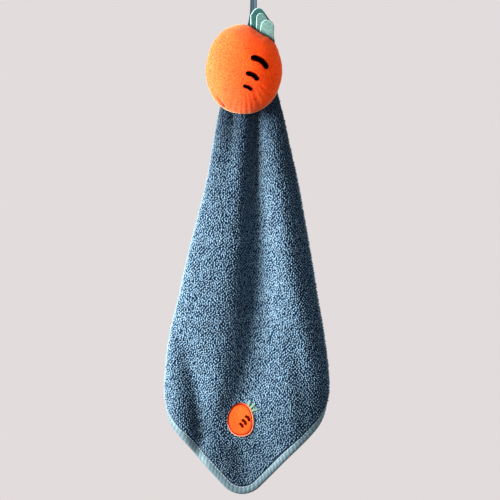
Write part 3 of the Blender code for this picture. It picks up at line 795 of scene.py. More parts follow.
def group_fibre():
    """Short fibres: colour drifting a little over the piece, and a fine nap as height."""
    tree, given, out = new_tree("fibre_nap", "ShaderNodeTree", (
        ("Where", "NodeSocketVector", None),
        ("Colour", "NodeSocketColor", (0.5, 0.5, 0.5, 1.0)),
        ("Drift", "NodeSocketFloat", 0.2),
        ("Nap Scale", "NodeSocketFloat", 900.0),
        ("Speckle", "NodeSocketFloat", 0.2),
    ), (("Colour", "NodeSocketColor", None), ("Height", "NodeSocketFloat", None)))
    broad = noise(tree, given["Where"], DRIFT_SCALE, 2.0)
    fine = noise(tree, given["Where"], given["Nap Scale"], 3.0, 0.7)
    light = maths(tree, "MULTIPLY_ADD", maths(tree, "SUBTRACT", broad, 0.5), given["Drift"], 1.0)
    grain = maths(tree, "MULTIPLY_ADD", maths(tree, "SUBTRACT", fine, 0.5), given["Speckle"], 1.0)
    tree.links.new(shaded(tree, given["Colour"], maths(tree, "MULTIPLY", light, grain)), out["Colour"])
    tree.links.new(fine, out["Height"])
    return tree


def group_twist():
    """Spun thread: slanting plies across the run, as a shade and as height."""
    tree, given, out = new_tree("thread_twist", "ShaderNodeTree", (
        ("Where", "NodeSocketVector", None),
        ("Colour", "NodeSocketColor", (0.5, 0.5, 0.5, 1.0)),
        ("Pitch", "NodeSocketFloat", 2200.0),
        ("Depth", "NodeSocketFloat", 0.3),
    ), (("Colour", "NodeSocketColor", None), ("Height", "NodeSocketFloat", None)))
    plies = add(tree, "ShaderNodeTexWave", {"wave_type": "BANDS", "bands_direction": "DIAGONAL"},
                Vector=given["Where"], Scale=given["Pitch"], Distortion=1.5, Detail=1.0).outputs["Fac"]
    light = maths(tree, "MULTIPLY_ADD", maths(tree, "SUBTRACT", plies, 0.5), given["Depth"], 1.0)
    tree.links.new(shaded(tree, given["Colour"], light), out["Colour"])
    tree.links.new(plies, out["Height"])
    return tree


FIBRE = group_fibre()
TWIST = group_twist()


def new_finish(name, roughness, sheen=0.0, sheen_tint=WHITE, specular=0.3):
    """A material with its shader's plain values set; gives its tree, shader and place."""
    material = bpy.data.materials.new(name)
    material.use_nodes = True
    tree = material.node_tree
    shader = tree.nodes["Principled BSDF"]
    shader.inputs["Roughness"].default_value = roughness
    shader.inputs["Specular IOR Level"].default_value = specular
    shader.inputs["Sheen Weight"].default_value = sheen
    shader.inputs["Sheen Roughness"].default_value = SHEEN_ROUGHNESS
    shader.inputs["Sheen Tint"].default_value = sheen_tint
    where = tree.nodes.new("ShaderNodeTexCoord").outputs["Object"]
    return material, tree, shader, where


def place_group(tree, group, where, colour, **values):
    """A shared effect over a colour, with a material's own values."""
    return add(tree, "ShaderNodeGroup", {"node_tree": group}, Where=where, Colour=colour, **values).outputs


def dress(tree, shader, colour, height, distance_mm, strength):
    """Give a shader its colour, and its relief from a height."""
    tree.links.new(colour, shader.inputs["Base Color"])
    bump = add(tree, "ShaderNodeBump", Height=height, Distance=distance_mm * MM, Strength=strength)
    tree.links.new(bump.outputs[0], shader.inputs["Normal"])


def attribute(tree, name):
    """A point's own number in a material, by its name."""
    return add(tree, "ShaderNodeAttribute", {"attribute_name": name}).outputs["Fac"]


def painted_shade_down(tree, where):
    """Painted shade on the fleece by its height: the head's shadow painted under the head, and darker towards
    the tip.
    """
    height = add(tree, "ShaderNodeSeparateXYZ", Vector=where).outputs["Z"]
    down = add(tree, "ShaderNodeMapRange", Value=height, in1=-HEAD_DROP * MM,
               in2=-(HEAD_DROP + CLOTH_SIDE * math.sqrt(2.0)) * MM, in3=0.0, in4=1.0).outputs[0]
    return ramp(tree, down, *((place, rgb(*[shade] * 3)) for place, shade in PAINTED_SHADES_DOWN))


def finish_curls():
    """Fleece curls: painted shade makes them navy at their feet, blue on their sides and pale at their tips.
    """
    material, tree, shader, where = new_finish("fleece_curls", roughness=0.9, sheen=0.12,
                                               sheen_tint=rgb(190, 215, 230), specular=0.08)
    body = ramp(tree, attribute(tree, "curl_height"), (0.0, rgb(12, 30, 54)), (0.35, rgb(75, 105, 131)),
                (0.58, rgb(109, 138, 158)), (0.82, rgb(132, 155, 166)))
    each = maths(tree, "MULTIPLY_ADD", attribute(tree, "curl_tone"), *CURL_TONE)
    patch = maths(tree, "MULTIPLY_ADD", noise(tree, where, PATCH_SCALE, 2.0), *PATCH_TONE)
    # Painted light and shade: paler where the cloth faces the key lamp, darker where it faces away and under
    # the head
    laid_and_lit = maths(tree, "MULTIPLY_ADD", attribute(tree, "brushed"), BRUSH_PAINTED_LIGHT, 1.0)
    light = each
    for other in (patch, painted_shade_down(tree, where), laid_and_lit):
        light = maths(tree, "MULTIPLY", light, other)
    fuzz = place_group(tree, FIBRE, where, shaded(tree, body, light), Drift=0.0,
                       Nap_Scale=1800.0, Speckle=0.35)
    dress(tree, shader, fuzz["Colour"], fuzz["Height"], distance_mm=0.25, strength=0.6)
    return material


def finish_ground():
    """The knitted ground down between the curls, painted dark as the shade down there."""
    material, tree, shader, where = new_finish("fleece_ground", roughness=0.95, specular=0.1)
    worms = noise(tree, where, KNIT_SCALE, 2.0, 0.5)
    body = ramp(tree, worms, (0.35, rgb(5, 15, 34)), (0.62, rgb(30, 54, 80)))
    fuzz = place_group(tree, FIBRE, where, body, Drift=0.2, Nap_Scale=1500.0, Speckle=0.3)
    dress(tree, shader, fuzz["Colour"], worms, distance_mm=0.6, strength=0.8)
    return material


def finish_binding():
    """Satin tape: smooth, grey-green blue, with painted shade between its ribs and towards its rims, and a
    little painted shade towards the tip.
    """
    material, tree, shader, where = new_finish("satin_tape", roughness=0.48, sheen=0.2,
                                               sheen_tint=rgb(220, 232, 232))
    rib = attribute(tree, "rib")
    body = ramp(tree, rib, (0.0, rgb(52, 73, 83)), (0.5, rgb(86, 111, 121)), (1.0, rgb(109, 135, 143)))
    # Painted shade: the tape shares the fleece's painted shade by height
    body = mix(tree, TAPE_SHADE, body, painted_shade_down(tree, where), "MULTIPLY")
    weave = place_group(tree, TWIST, where, body, Pitch=1400.0, Depth=0.10)
    drift = place_group(tree, FIBRE, where, weave["Colour"], Drift=0.35, Nap_Scale=1500.0,
                        Speckle=0.08)
    dress(tree, shader, drift["Colour"], weave["Height"], distance_mm=0.05, strength=0.4)
    return material


def finish_thread(name, colour, roughness=0.5, sheen=0.2, depth=0.35, specular=0.4):
    """Sewing or embroidery thread."""
    material, tree, shader, where = new_finish(name, roughness, sheen, specular=specular)
    twist = place_group(tree, TWIST, where, colour, Pitch=2600.0, Depth=depth)
    dress(tree, shader, twist["Colour"], twist["Height"], distance_mm=0.06, strength=0.5)
    return material


def finish_plush():
    """Short orange plush, with painted shade in its creases, and painted light that makes it paler on its
    left, where the key lamp falls.
    """
    material, tree, shader, where = new_finish("orange_plush", roughness=0.9, sheen=0.7,
                                               sheen_tint=rgb(255, 214, 172), specular=0.0)
    shader.inputs["Subsurface Weight"].default_value = 0.55
    shader.inputs["Subsurface Radius"].default_value = (1.0, 0.16, 0.05)
    shader.inputs["Subsurface Scale"].default_value = PLUSH_GLOW * MM
    crease = attribute(tree, "crease")
    nap_light = attribute(tree, "nap_lay")
    # Painted light: the paler colour on the head's left, where the key lamp falls, and the deeper one in its
    # shade
    brushed = mix(tree, nap_light, rgb(252, 74, 7), rgb(214, 91, 46))
    shadow = ramp(tree, crease, (0.0, WHITE), (0.5, rgb(238, 176, 150)), (1.0, rgb(50, 20, 18)))
    body = mix(tree, 1.0, brushed, shadow, "MULTIPLY")
    speckle = maths(tree, "MULTIPLY_ADD", nap_light, *PLUSH_SPECKLE)
    nap = place_group(tree, FIBRE, where, body, Drift=0.3, Nap_Scale=780.0, Speckle=speckle)
    dress(tree, shader, nap["Colour"], nap["Height"], distance_mm=0.6, strength=0.8)
    return material


def finish_felt(name, face):
    """Felt, with a pale cut edge that a painted highlight makes paler on its lit side, and painted shade
    where its root meets the head's seam.
    """
    material, tree, shader, where = new_finish(name, roughness=0.95, sheen=0.15,
                                               sheen_tint=rgb(210, 235, 228), specular=0.0)
    pale = mix(tree, attribute(tree, "cut_edge"), face, rgb(168, 206, 196))
    body = mix(tree, attribute(tree, "tuck"), pale, rgb(20, 34, 38))
    nap = place_group(tree, FIBRE, where, body, Drift=0.5, Nap_Scale=560.0, Speckle=2.4)
    dress(tree, shader, nap["Colour"], nap["Height"], distance_mm=0.30, strength=0.6)
    return material


def finish_strap():
    """Woven tape for the hanging strap, paler towards its right edge, with painted shade on its left side."""
    material, tree, shader, where = new_finish("strap_tape", roughness=0.75, sheen=0.2,
                                               sheen_tint=rgb(180, 200, 210), specular=0.25)
    # Painted shade: the darker colour on the tape's left side
    body = ramp(tree, attribute(tree, "across"), (0.25, rgb(34, 52, 62)), (0.5, rgb(70, 90, 104)))
    weave = place_group(tree, TWIST, where, body, Pitch=1100.0, Depth=0.4)
    dress(tree, shader, weave["Colour"], weave["Height"], distance_mm=0.15, strength=0.6)
    return material


def finish_badge():
    """The applique's own orange plush, with painted shade along its pressed line and at its upper left rim,
    and a painted highlight at its right rim.
    """
    material, tree, shader, where = new_finish("badge_plush", roughness=0.85, sheen=0.3,
                                               sheen_tint=rgb(255, 190, 140), specular=0.0)
    highlighted = mix(tree, attribute(tree, "pale_rim"), rgb(236, 80, 30), rgb(226, 158, 130))
    body = mix(tree, attribute(tree, "crease"), highlighted, rgb(96, 18, 6))
    nap = place_group(tree, FIBRE, where, body, Drift=0.8, Nap_Scale=620.0, Speckle=1.4)
    dress(tree, shader, nap["Colour"], nap["Height"], distance_mm=0.25, strength=0.5)
    return material


# ---------------- fleece cloth

def make_ground(fan):
    """The towel's knitted ground, both faces, and the beds on it that the curls grow from."""
    n = GROUND_CELLS
    first = 1.0 - BARE_RING / (CLOTH_SIDE / 2.0 - BINDING_WIDTH - RIM_GAP)
    line = np.concatenate(((-1.0,), np.linspace(-first, first, n - 1), (1.0,)))
    p, q = np.meshgrid(line, line, indexing="ij")
    u, d = rounded_square(p, q, BINDING_WIDTH + RIM_GAP)
    lift = np.full(u.shape, GROUND_THICK / 2.0)
    front = hang(fan, u, d, lift).reshape(-1, 3)
    back = hang(fan, u, d, -lift).reshape(-1, 3)
    count = len(front)
    index = np.arange(count).reshape(n + 1, n + 1)
    quads = np.stack((index[:-1, :-1], index[:-1, 1:], index[1:, 1:], index[1:, :-1]), axis=-1)
    quads = quads.reshape(-1, 4)
    ring = np.concatenate((index[:-1, 0], index[-1, :-1], index[:0:-1, -1], index[0, :0:-1])).tolist()
    faces = quads.tolist() + (quads[:, ::-1] + count).tolist()
    faces += [(a, b, b + count, a + count) for a, b in zip(ring, ring[1:] + ring[:1])]
    material = finish_ground()
    ground = make_piece("fleece_ground", np.vstack((front, back)), faces, material)

    level = ((d[:-1, :-1] + d[1:, 1:]) / 2.0).reshape(-1)
    level = level + np.random.RandomState(BED_SEED).uniform(-BED_RAGGED, BED_RAGGED, len(level))
    bands = {"upper": level < BED_SPLITS[0], "lower": level >= BED_SPLITS[1]}
    bands["middle"] = ~(bands["upper"] | bands["lower"])
    within = np.zeros((n, n), bool)
    within[1:-1, 1:-1] = True
    # Painted light and shade, which also set how the curls lie: paler where the cloth faces left, towards the
    # key lamp, and darker where it faces right and in the neck under the head
    facing = -cloth_normal(fan, u, d)[..., 0] * BRUSH_REACH
    neck = bell(d, NECK_DROP, 4)
    brushed = np.clip(facing - NECK_GATHER_AND_SHADE * neck, -1.0, 1.0).reshape(-1)
    beds = {}
    for band, cells in bands.items():
        chosen = quads[cells & within.reshape(-1)]
        for face, points, quad_list, laid_and_lit in (("front_", front, chosen, brushed),
                                              ("back_", back, chosen[:, ::-1], -brushed)):
            beds[face + band] = make_piece(face + band, points, quad_list.tolist(), material)
            mark(beds[face + band], "brushed", laid_and_lit)
    return ground, beds


# A curl's middle line, as along, aside, height and thickness, in shares of its own size
CURL_LINES = (
    ((-0.46, -0.25, 0.06, 0.55), (0.00, 0.30, 0.62, 1.05), (0.46, -0.35, 0.10, 0.55)),
    ((-0.42, -0.55, 0.12, 0.55), (0.02, 0.05, 0.66, 1.10), (0.44, 0.50, 0.14, 0.55)),
    ((-0.40, 0.55, 0.05, 0.55), (-0.04, -0.10, 0.56, 1.00), (0.42, 0.10, 0.16, 0.60)),
    ((-0.34, -0.30, 0.16, 0.60), (0.06, 0.35, 0.70, 1.10), (0.40, -0.25, 0.05, 0.50)),
)


def make_curl_shapes():
    """A few curled tufts, each a closed four-sided worm."""
    shapes = bpy.data.collections.new("curl_shapes")
    for number, line in enumerate(CURL_LINES):
        points = []
        for along, aside, height, thick in line:
            middle = np.array((along * CURL_LENGTH, aside * CURL_WIDTH, height * CURL_HEIGHT))
            for turn in (0, 90, 180, 270):
                a = math.radians(turn)
                out = np.array((0.0, math.cos(a), CURL_FLATTEN * math.sin(a)))
                points.append(middle + out * thick * CURL_WIDTH / 2)
        rings = [points[k:k + 4] for k in range(0, len(points), 4)]
        curl = make_piece(f"curl_{number}", points, tube(rings), bpy.data.materials.get("fleece_ground"))
        mark(curl, "curl_height", [min(1.0, max(0.0, p[2] / (CURL_TOP * CURL_HEIGHT))) for p in points])
        bpy.context.scene.collection.objects.unlink(curl)
        shapes.objects.link(curl)
    return shapes


def make_pile(beds):
    """The curls on the upper, middle and lower beds of both faces."""
    shapes = make_curl_shapes()
    tree = tree_pile()
    finish = finish_curls()
    pile = []
    for seed, (where, bed) in enumerate(beds.items(), start=PILE_SEED):
        modifier = bed.modifiers.new("pile", "NODES")
        modifier.node_group = tree
        set_inputs(modifier, curls=shapes, spacing=CURL_SPACING * MM, density=CURL_DENSITY,
                   lie_scale=CURL_LIE_SCALE, seed=seed, finish=finish)
        settle(bed)
        bed.name = "pile_" + where
        bed.data.shade_smooth()
        pile.append(bed)
    discard(*shapes.objects)
    bpy.data.collections.remove(shapes)
    return pile


# ---------------- binding

def corner_share(p, q):
    """1 at the rim's four corners, 0 along its sides."""
    return np.clip((np.minimum(np.abs(p), np.abs(q)) - CORNER_FROM) / CORNER_FADE, 0.0, 1.0)


def make_binding(fan):
    """The satin band: a folded tape, ribbed by its stitching, most at the round corners."""
    p, q = rim_run(BINDING_STATIONS)
    outer_u, outer_d = rounded_square(p, q, 0.0)
    steps = np.hypot(np.diff(outer_u, append=outer_u[0]), np.diff(outer_d, append=outer_d[0]))
    run = distances(steps)[:-1]
    round_trip = steps.sum()
    ribs = round(round_trip / RIB_PITCH)
    phase = 2 * math.pi * ribs * run / round_trip
    phase += RIB_PITCH_WAVER * waver(run, seed=11, waves=[round_trip / waves for waves in RIB_PITCH_WAVES])
    rib = 0.5 + 0.5 * np.cos(phase)
    rise = RIB_RISE + (CORNER_RIB_RISE - RIB_RISE) * corner_share(p, q)
    uneven = waver(run, seed=12, waves=[round_trip / waves for waves in RIB_RISE_WAVES])
    rise = rise * (RIB_RISE_SPAN[0] + RIB_RISE_SPAN[1] * uneven)
    profile = list(BINDING_PROFILE) + [(inset, -lift) for inset, lift in BINDING_PROFILE[-2::-1]]
    lines = []
    rib_shades = []
    for inset, lift in profile:
        share = min(1.0, abs(lift) / BINDING_PROFILE[2][1])
        u, d = rounded_square(p, q, inset + (1.0 - rib) * rise * (RIM_DENT if inset < 1.0 else 0.0))
        height = lift + math.copysign(1.0, lift) * (rib - RIB_LEVEL) * rise * share
        lines.append(hang(fan, u, d, height))
        # Painted shade: darker in the dents between ribs and towards the tape's rims
        least, span = RIB_PAINTED_SHADE if lift else RIM_PAINTED_SHADE
        rib_shades.append(least + span * rib * (share if lift else 1.0))
    stations = np.stack(lines, axis=1)
    count = len(profile)
    faces = [face[::-1] for face in tube([range(count)] * len(run), closed=True)]
    binding = make_piece("edge_binding_tape", stations.reshape(-1, 3), faces, finish_binding())
    mark(binding, "rib", np.stack(rib_shades, axis=1).reshape(-1))
    return binding


def make_stitch_shape(name, width, height):
    """One stitch: a short thread, thickest in its middle, 1 mm long before it is stretched."""
    points = []
    for along, share in STITCH_SHAPE:
        rise = height * (share - STITCH_ENDS)
        for k in range(STITCH_SIDES):
            a = 2 * math.pi * k / STITCH_SIDES
            points.append((along, math.cos(a) * width / 2 * share, rise + math.sin(a) * width / 2 * share))
    rings = [range(STITCH_SIDES)] * len(STITCH_SHAPE)
    return make_piece(name, points, tube(rings), FIBRE_PLAIN)


def sew(name, points, along, out, lengths, stitch, finish, seed, uneven=0.08):
    """A row of stitches as one plain mesh; points in millimetres."""
    row = make_piece(name, points, [], finish)
    mark(row, "along", along, "FLOAT_VECTOR")
    mark(row, "out", out, "FLOAT_VECTOR")
    mark(row, "length", lengths)
    modifier = row.modifiers.new("sewing", "NODES")
    modifier.node_group = STITCHES
    set_inputs(modifier, stitch=stitch, uneven=uneven, seed=seed, finish=finish)
    settle(row)
    row.data.shade_smooth()
    return row


def make_binding_stitches(fan):
    """The line of stitches along the band's inner edge, on both faces."""
    p, q = rim_run(BINDING_STATIONS)
    u, d = rounded_square(p, q, STITCH_INSET)
    u = np.append(u, u[0])
    d = np.append(d, d[0])
    run = distances(np.hypot(np.diff(u), np.diff(d)))
    count = int(run[-1] / STITCH_PITCH)
    at = (np.arange(count) + 0.5) * run[-1] / count
    su, sd = np.interp(at, run, u), np.interp(at, run, d)
    au, ad = np.interp(at + STITCH_AHEAD, run, u), np.interp(at + STITCH_AHEAD, run, d)
    points, along, out = [], [], []
    for face in (1.0, -1.0):
        lift = np.full(count, face * STITCH_LIFT)
        here = hang(fan, su, sd, lift)
        points.append(here)
        along.append(hang(fan, au, ad, lift) - here)
        out.append(cloth_normal(fan, su, sd) * face)
    stitch = make_stitch_shape("binding_stitch", width=0.55, height=0.35)
    row = sew("binding_stitches", np.vstack(points), np.vstack(along), np.vstack(out),
              np.full(2 * count, STITCH_PITCH * STITCH_COVER), stitch,
              finish_thread("binding_thread", rgb(150, 182, 192)), seed=21)
    discard(stitch)
    return row


# ---------------- head

def head_radius(angle, share):
    """The head's outline about its middle, its bumps fading as it turns in to its face."""
    oval = 1.0 / np.hypot(np.cos(angle) / HEAD_HALF_WIDTH, np.sin(angle) / HEAD_HALF_HEIGHT)
    for centre, spread, rise in HEAD_BUMPS.values():
        away = (np.degrees(angle) - centre + 180.0) % 360.0 - 180.0
        oval = oval + rise * share**BUMP_FADE * bell(away, spread)
    return oval


def head_share(depth):
    """How much of the outline is left at a depth from the seam."""
    return (1.0 - np.minimum(1.0, np.abs(depth) / HEAD_HALF_DEPTH) ** HEAD_FACE_POWER) ** HEAD_RIM_POWER


def near_line(x, z, start, end, width):
    """How near places are to a short line: 1 at its end, less at its start, fading to 0 beside it."""
    span = np.subtract(end, start)
    t = ((x - start[0]) * span[0] + (z - start[1]) * span[1]) / span.dot(span)
    inside = np.clip(t, 0.0, 1.0)
    away = np.hypot(x - start[0] - inside * span[0], z - start[1] - inside * span[1])
    return bell(away, width) * (PUCKER_LEAST + (1.0 - PUCKER_LEAST) * inside)


# Soft pleats that run in from the head's seam: angle round the head in degrees, how far in they
# reach as a share of the outline, half width in degrees, and depth
HEAD_PLEATS = (
    (252, 0.42, 3, 0.55), (261, 0.62, 2.2, 0.60), (268, 0.52, 2, 0.60), (275, 0.46, 2.4, 0.85),
    (283, 0.38, 2.4, 0.75), (292, 0.34, 4, 1.10), (303, 0.50, 2.6, 0.75), (313, 0.42, 3, 0.90),
    (325, 0.58, 2.6, 0.60),
    (336, 0.50, 3, 0.75), (348, 0.62, 2.6, 0.50), (0, 0.58, 2.8, 0.60), (11, 0.66, 2.4, 0.50),
    (23, 0.56, 2.8, 0.70), (34, 0.64, 2.4, 0.55), (46, 0.68, 2.8, 0.60), (58, 0.70, 3, 0.45),
    (72, 0.74, 3, 0.50), (88, 0.80, 3, 0.40), (108, 0.82, 3.4, 0.35), (130, 0.86, 3.4, 0.30),
    (152, 0.84, 3.4, 0.30), (176, 0.86, 3.4, 0.30), (198, 0.84, 3.4, 0.35), (216, 0.80, 3.2, 0.45),
    (242, 0.70, 3, 0.50),
)


def make_head():
    """The stuffed head: two plush faces sewn round their rims, puckered and creased by the seam."""
    ring = np.linspace(0.0, math.pi, HEAD_RINGS + 1)[1:-1]
    side = np.linspace(0.0, 2 * math.pi, HEAD_SIDES, endpoint=False)
    turn, angle = np.meshgrid(ring, side, indexing="ij")
    depth = -HEAD_HALF_DEPTH * np.cos(turn)
    share = head_share(depth)
    radius = head_radius(angle, share)
    degrees = np.degrees(angle)
    x = HEAD_X + radius * share * np.cos(angle)
    z = -HEAD_DROP + radius * share * np.sin(angle)
    pleats = np.zeros_like(angle)
    for centre, inner, width, deep in HEAD_PLEATS:
        away = (degrees - centre + 180.0) % 360.0 - 180.0
        reach = np.clip((share - inner) / (1.0 - inner), 0.0, 1.0)
        fade = 1.0 - PLEAT_END * reach**PLEAT_END_POWER
        pleats += deep * reach**PLEAT_POWER * fade * bell(away, width)
    seam = bell(depth, SEAM_HALF_WIDTH)
    swell = sum(rise * waver(run_x * x + run_z * z, seed, waves)
                for rise, run_x, run_z, seed, waves in HEAD_SWELLS)
    pucker = np.where(depth < 0, near_line(x, z, *PUCKER_ENDS, PUCKER_HALF_WIDTH), 0.0)
    inward = pleats + SEAM_DEPTH * seam - swell * SWELL_SHARE + pucker * PUCKER_DEPTH
    toward = np.cos(turn)
    lean = np.sqrt(np.maximum(0.0, 1.0 - toward**2))
    px = x - inward * np.cos(angle) * lean
    pz = z - inward * np.sin(angle) * lean
    py = depth + inward * toward
    points = [(HEAD_X, -HEAD_HALF_DEPTH, -HEAD_DROP)]
    points += np.stack((px, py, pz), axis=-1).reshape(-1, 3).tolist()
    points.append((HEAD_X, HEAD_HALF_DEPTH, -HEAD_DROP))
    last = len(points) - 1
    end = last - HEAD_SIDES
    faces = []
    for k in range(HEAD_SIDES):
        m = (k + 1) % HEAD_SIDES
        faces.append((0, 1 + k, 1 + m))
        for a in range(1, end, HEAD_SIDES):
            b = a + HEAD_SIDES
            faces.append((a + k, b + k, b + m, a + m))
        faces.append((last, end + m, end + k))
    head = make_piece("stuffed_head", points, faces, finish_plush())

    # Painted shade in the pleats, the seam, the pucker and round the leaves' roots
    root_angle, angle_spread, root_depth, depth_spread = ROOT_SHADE
    tucked = bell(degrees - root_angle, angle_spread, 4) * bell(depth + root_depth, depth_spread)
    crease = np.clip(PLEAT_SHADE * pleats + SEAM_SHADE * seam + pucker + tucked, 0.0, 1.0).reshape(-1)
    mark(head, "crease", np.concatenate(((0.0,), crease, (0.0,))))
    # Painted light: paler towards the head's left and lower side, where the key lamp falls
    mean, fall, climb = NAP_PAINTED_LIGHT
    nap_light = mean - fall * (x - HEAD_X) / HEAD_HALF_WIDTH - climb * (z + HEAD_DROP) / HEAD_HALF_HEIGHT
    mark(head, "nap_lay", np.concatenate(((mean,), np.clip(nap_light, 0.0, 1.0).reshape(-1), (mean,))))
    return head


def skin_of(obj):
    """A finder for places on a piece's surface."""
    mesh = obj.data
    points = [v.co.copy() for v in mesh.vertices]
    return BVHTree.FromPolygons(points, [tuple(p.vertices) for p in mesh.polygons])


def seen_place(skin, px, py):
    """Where the photograph's pixel falls on a surface: the place and the way it faces."""
    eye = Vector((CAMERA_X, -CAMERA_AWAY, -CAMERA_DROP)) * MM
    half = PHOTO_SIDE / 2.0
    ray = Vector(((px - half) * MM, CAMERA_AWAY * MM, (half - py) * MM)).normalized()
    place, normal, _, _ = skin.ray_cast(eye, ray)
    return np.array(place) / MM, np.array(normal)


# The head's three embroidered dashes: knots as photograph pixels, and width in millimetres
HEAD_DASHES = (
    (((252.4, 57.6), (258.2, 59.0), (263.0, 62.2), (266.6, 67.2)), 6.5),
    (((247.0, 73.2), (251.3, 74.2), (254.7, 76.3), (257.2, 79.2)), 5.2),
    (((243.8, 86.1), (247.0, 86.6), (249.3, 87.9), (251.0, 89.8)), 3.9),
)
# Satin stitch: the threads' pitch, thickness, and height as a share of that; how far a dash runs past
# its knots and where it starts to round off, as shares of its width; its ends' least share of the
# width, squared; and the parts and step of its run
SATIN_PITCH = 0.42
SATIN_THREAD = 0.62
SATIN_HEIGHT = 1.2
DASH_END = 0.22
DASH_ROUND = 0.36
DASH_LEAST = 0.15
DASH_PARTS = 12
DASH_STEP = 0.5


def at_run(s, run, rows):
    """The place or arrow at a distance along a run of them."""
    return np.array([np.interp(s, run, rows[:, k]) for k in range(3)])


def make_dashes(name, skin, dashes, finish, rise, pitch=SATIN_PITCH, thread=SATIN_THREAD):
    """Satin stitch: threads laid side by side across each dash, over a raised filling."""
    points, along, out, lengths = [], [], [], []
    for knots, width in dashes:
        line = [seen_place(skin, *pixel) for pixel in smooth_run(knots, DASH_PARTS)]
        places, normals = (np.array(part) for part in zip(*line))
        run = distances(np.linalg.norm(np.diff(places, axis=0), axis=1))
        reach = width * DASH_END
        count = max(4, int((run[-1] + 2.0 * reach) / pitch))
        for s in np.linspace(-reach, run[-1] + reach, count):
            inside = min(max(s, 0.0), run[-1])
            tangent = (at_run(min(inside + DASH_STEP, run[-1]), run, places)
                       - at_run(max(inside - DASH_STEP, 0.0), run, places))
            tangent /= np.linalg.norm(tangent)
            normal = at_run(inside, run, normals)
            normal /= np.linalg.norm(normal)
            rounding = max(0.0, 1.0 - (min(s, run[-1] - s) + reach) / (width * DASH_ROUND))
            points.append(at_run(inside, run, places) + tangent * (s - inside) + normal * rise)
            along.append(np.cross(normal, tangent))
            out.append(normal)
            lengths.append(width * math.sqrt(max(DASH_LEAST, 1.0 - rounding**2)))
    stitch = make_stitch_shape(name + "_stitch", thread, SATIN_HEIGHT * thread)
    made = sew(name, points, along, out, lengths, stitch, finish, seed=31, uneven=0.05)
    discard(stitch)
    return made


# ---------------- leaves and strap

def head_line(across, depth):
    """The drop of the head's upper surface at places across."""
    angles = np.radians(np.arange(0.0, 180.1, 0.1))
    share = head_share(depth)
    xs = HEAD_X + head_radius(angles, share) * share * np.cos(angles)
    drops = HEAD_DROP - head_radius(angles, share) * share * np.sin(angles)
    return np.interp(across, xs[::-1], drops[::-1])


def make_leaf(name):
    """One felt leaf, a flat tongue with a rounded edge and its root against the head's seam.

    Gives the leaf with its flat size and area, in metres."""
    plane, knots, roots = LEAVES[name]
    half = LEAF_THICK / 2.0
    under = max(0.0, abs(plane) - half)
    root_x = np.linspace(roots[1], roots[0], LEAF_ROOT_STEPS)
    root = np.column_stack((root_x, head_line(root_x, under) + ROOT_GAP))
    outline = np.vstack((smooth_run(knots, LEAF_PARTS), root))
    closed = np.vstack((outline, outline[:1]))
    run = distances(np.linalg.norm(np.diff(closed, axis=0), axis=1))
    at = np.linspace(0.0, run[-1], LEAF_SIDES, endpoint=False)
    edge = np.column_stack((np.interp(at, run, closed[:, 0]), np.interp(at, run, closed[:, 1])))
    middle = edge.mean(axis=0)
    turned = np.sum(edge[:, 0] * np.roll(edge[:, 1], -1) - edge[:, 1] * np.roll(edge[:, 0], -1)) / 2.0
    inwards = middle - edge
    inwards /= np.linalg.norm(inwards, axis=1, keepdims=True)
    lit = (inwards[:, 0] * CUT_HIGHLIGHT_SIDE[0] + inwards[:, 1] * CUT_HIGHLIGHT_SIDE[1]) * CUT_HIGHLIGHT_GAIN + CUT_HIGHLIGHT_MEAN
    lit = np.clip(lit, 0.0, 1.0)
    rings = [(edge + inwards * inset, share * half, lit * cut) for inset, share, cut in LEAF_EDGE]
    rings += [(middle + (edge + inwards * LEAF_INSET - middle) * share, half, lit * 0.0)
              for share in LEAF_RINGS]
    points = []
    marks = []
    for way, used in ((-1.0, rings), (1.0, rings[1:])):
        for line, rise, cut in used:
            points.append(np.column_stack((line[:, 0], np.full(LEAF_SIDES, plane + way * rise), -line[:, 1])))
            marks.append(cut)
    stacked = np.vstack(points)
    front = len(rings)
    faces = []
    for order, step in ((range(front), 1), ((0, *range(front, 2 * front - 1)), -1)):
        for a, b in zip(order, order[1:]):
            for k in range(LEAF_SIDES):
                near, far = (k, (k + 1) % LEAF_SIDES)[::step]
                faces.append((a * LEAF_SIDES + near, a * LEAF_SIDES + far,
                              b * LEAF_SIDES + far, b * LEAF_SIDES + near))
    faces.append(tuple(range((front - 1) * LEAF_SIDES, front * LEAF_SIDES)))
    faces.append(tuple(range((2 * front - 2) * LEAF_SIDES, (2 * front - 1) * LEAF_SIDES))[::-1])
    leaf = make_piece(name + "_felt", stacked, faces, finish_felt(name + "_felt", rgb(*LEAF_SHADED_FACES[name])))
    face_out(leaf)
    mark(leaf, "cut_edge", np.concatenate(marks))
    # Painted shade at the root, where the leaf meets the head's seam
    above_root = head_line(stacked[:, 0], under) + stacked[:, 2]
    mark(leaf, "tuck", np.clip(1.0 - above_root / LEAF_ROOT_SHADE_REACH, 0.0, 1.0))
    return leaf, (np.ptp(edge[:, 0]) * MM, np.ptp(edge[:, 1]) * MM), abs(turned) * MM * MM


def face_out(obj):
    """Turn a closed piece's faces outwards."""
    work = bmesh.new()
    work.from_mesh(obj.data)
    bmesh.ops.recalc_face_normals(work, faces=work.faces)
    work.to_mesh(obj.data)
    work.free()


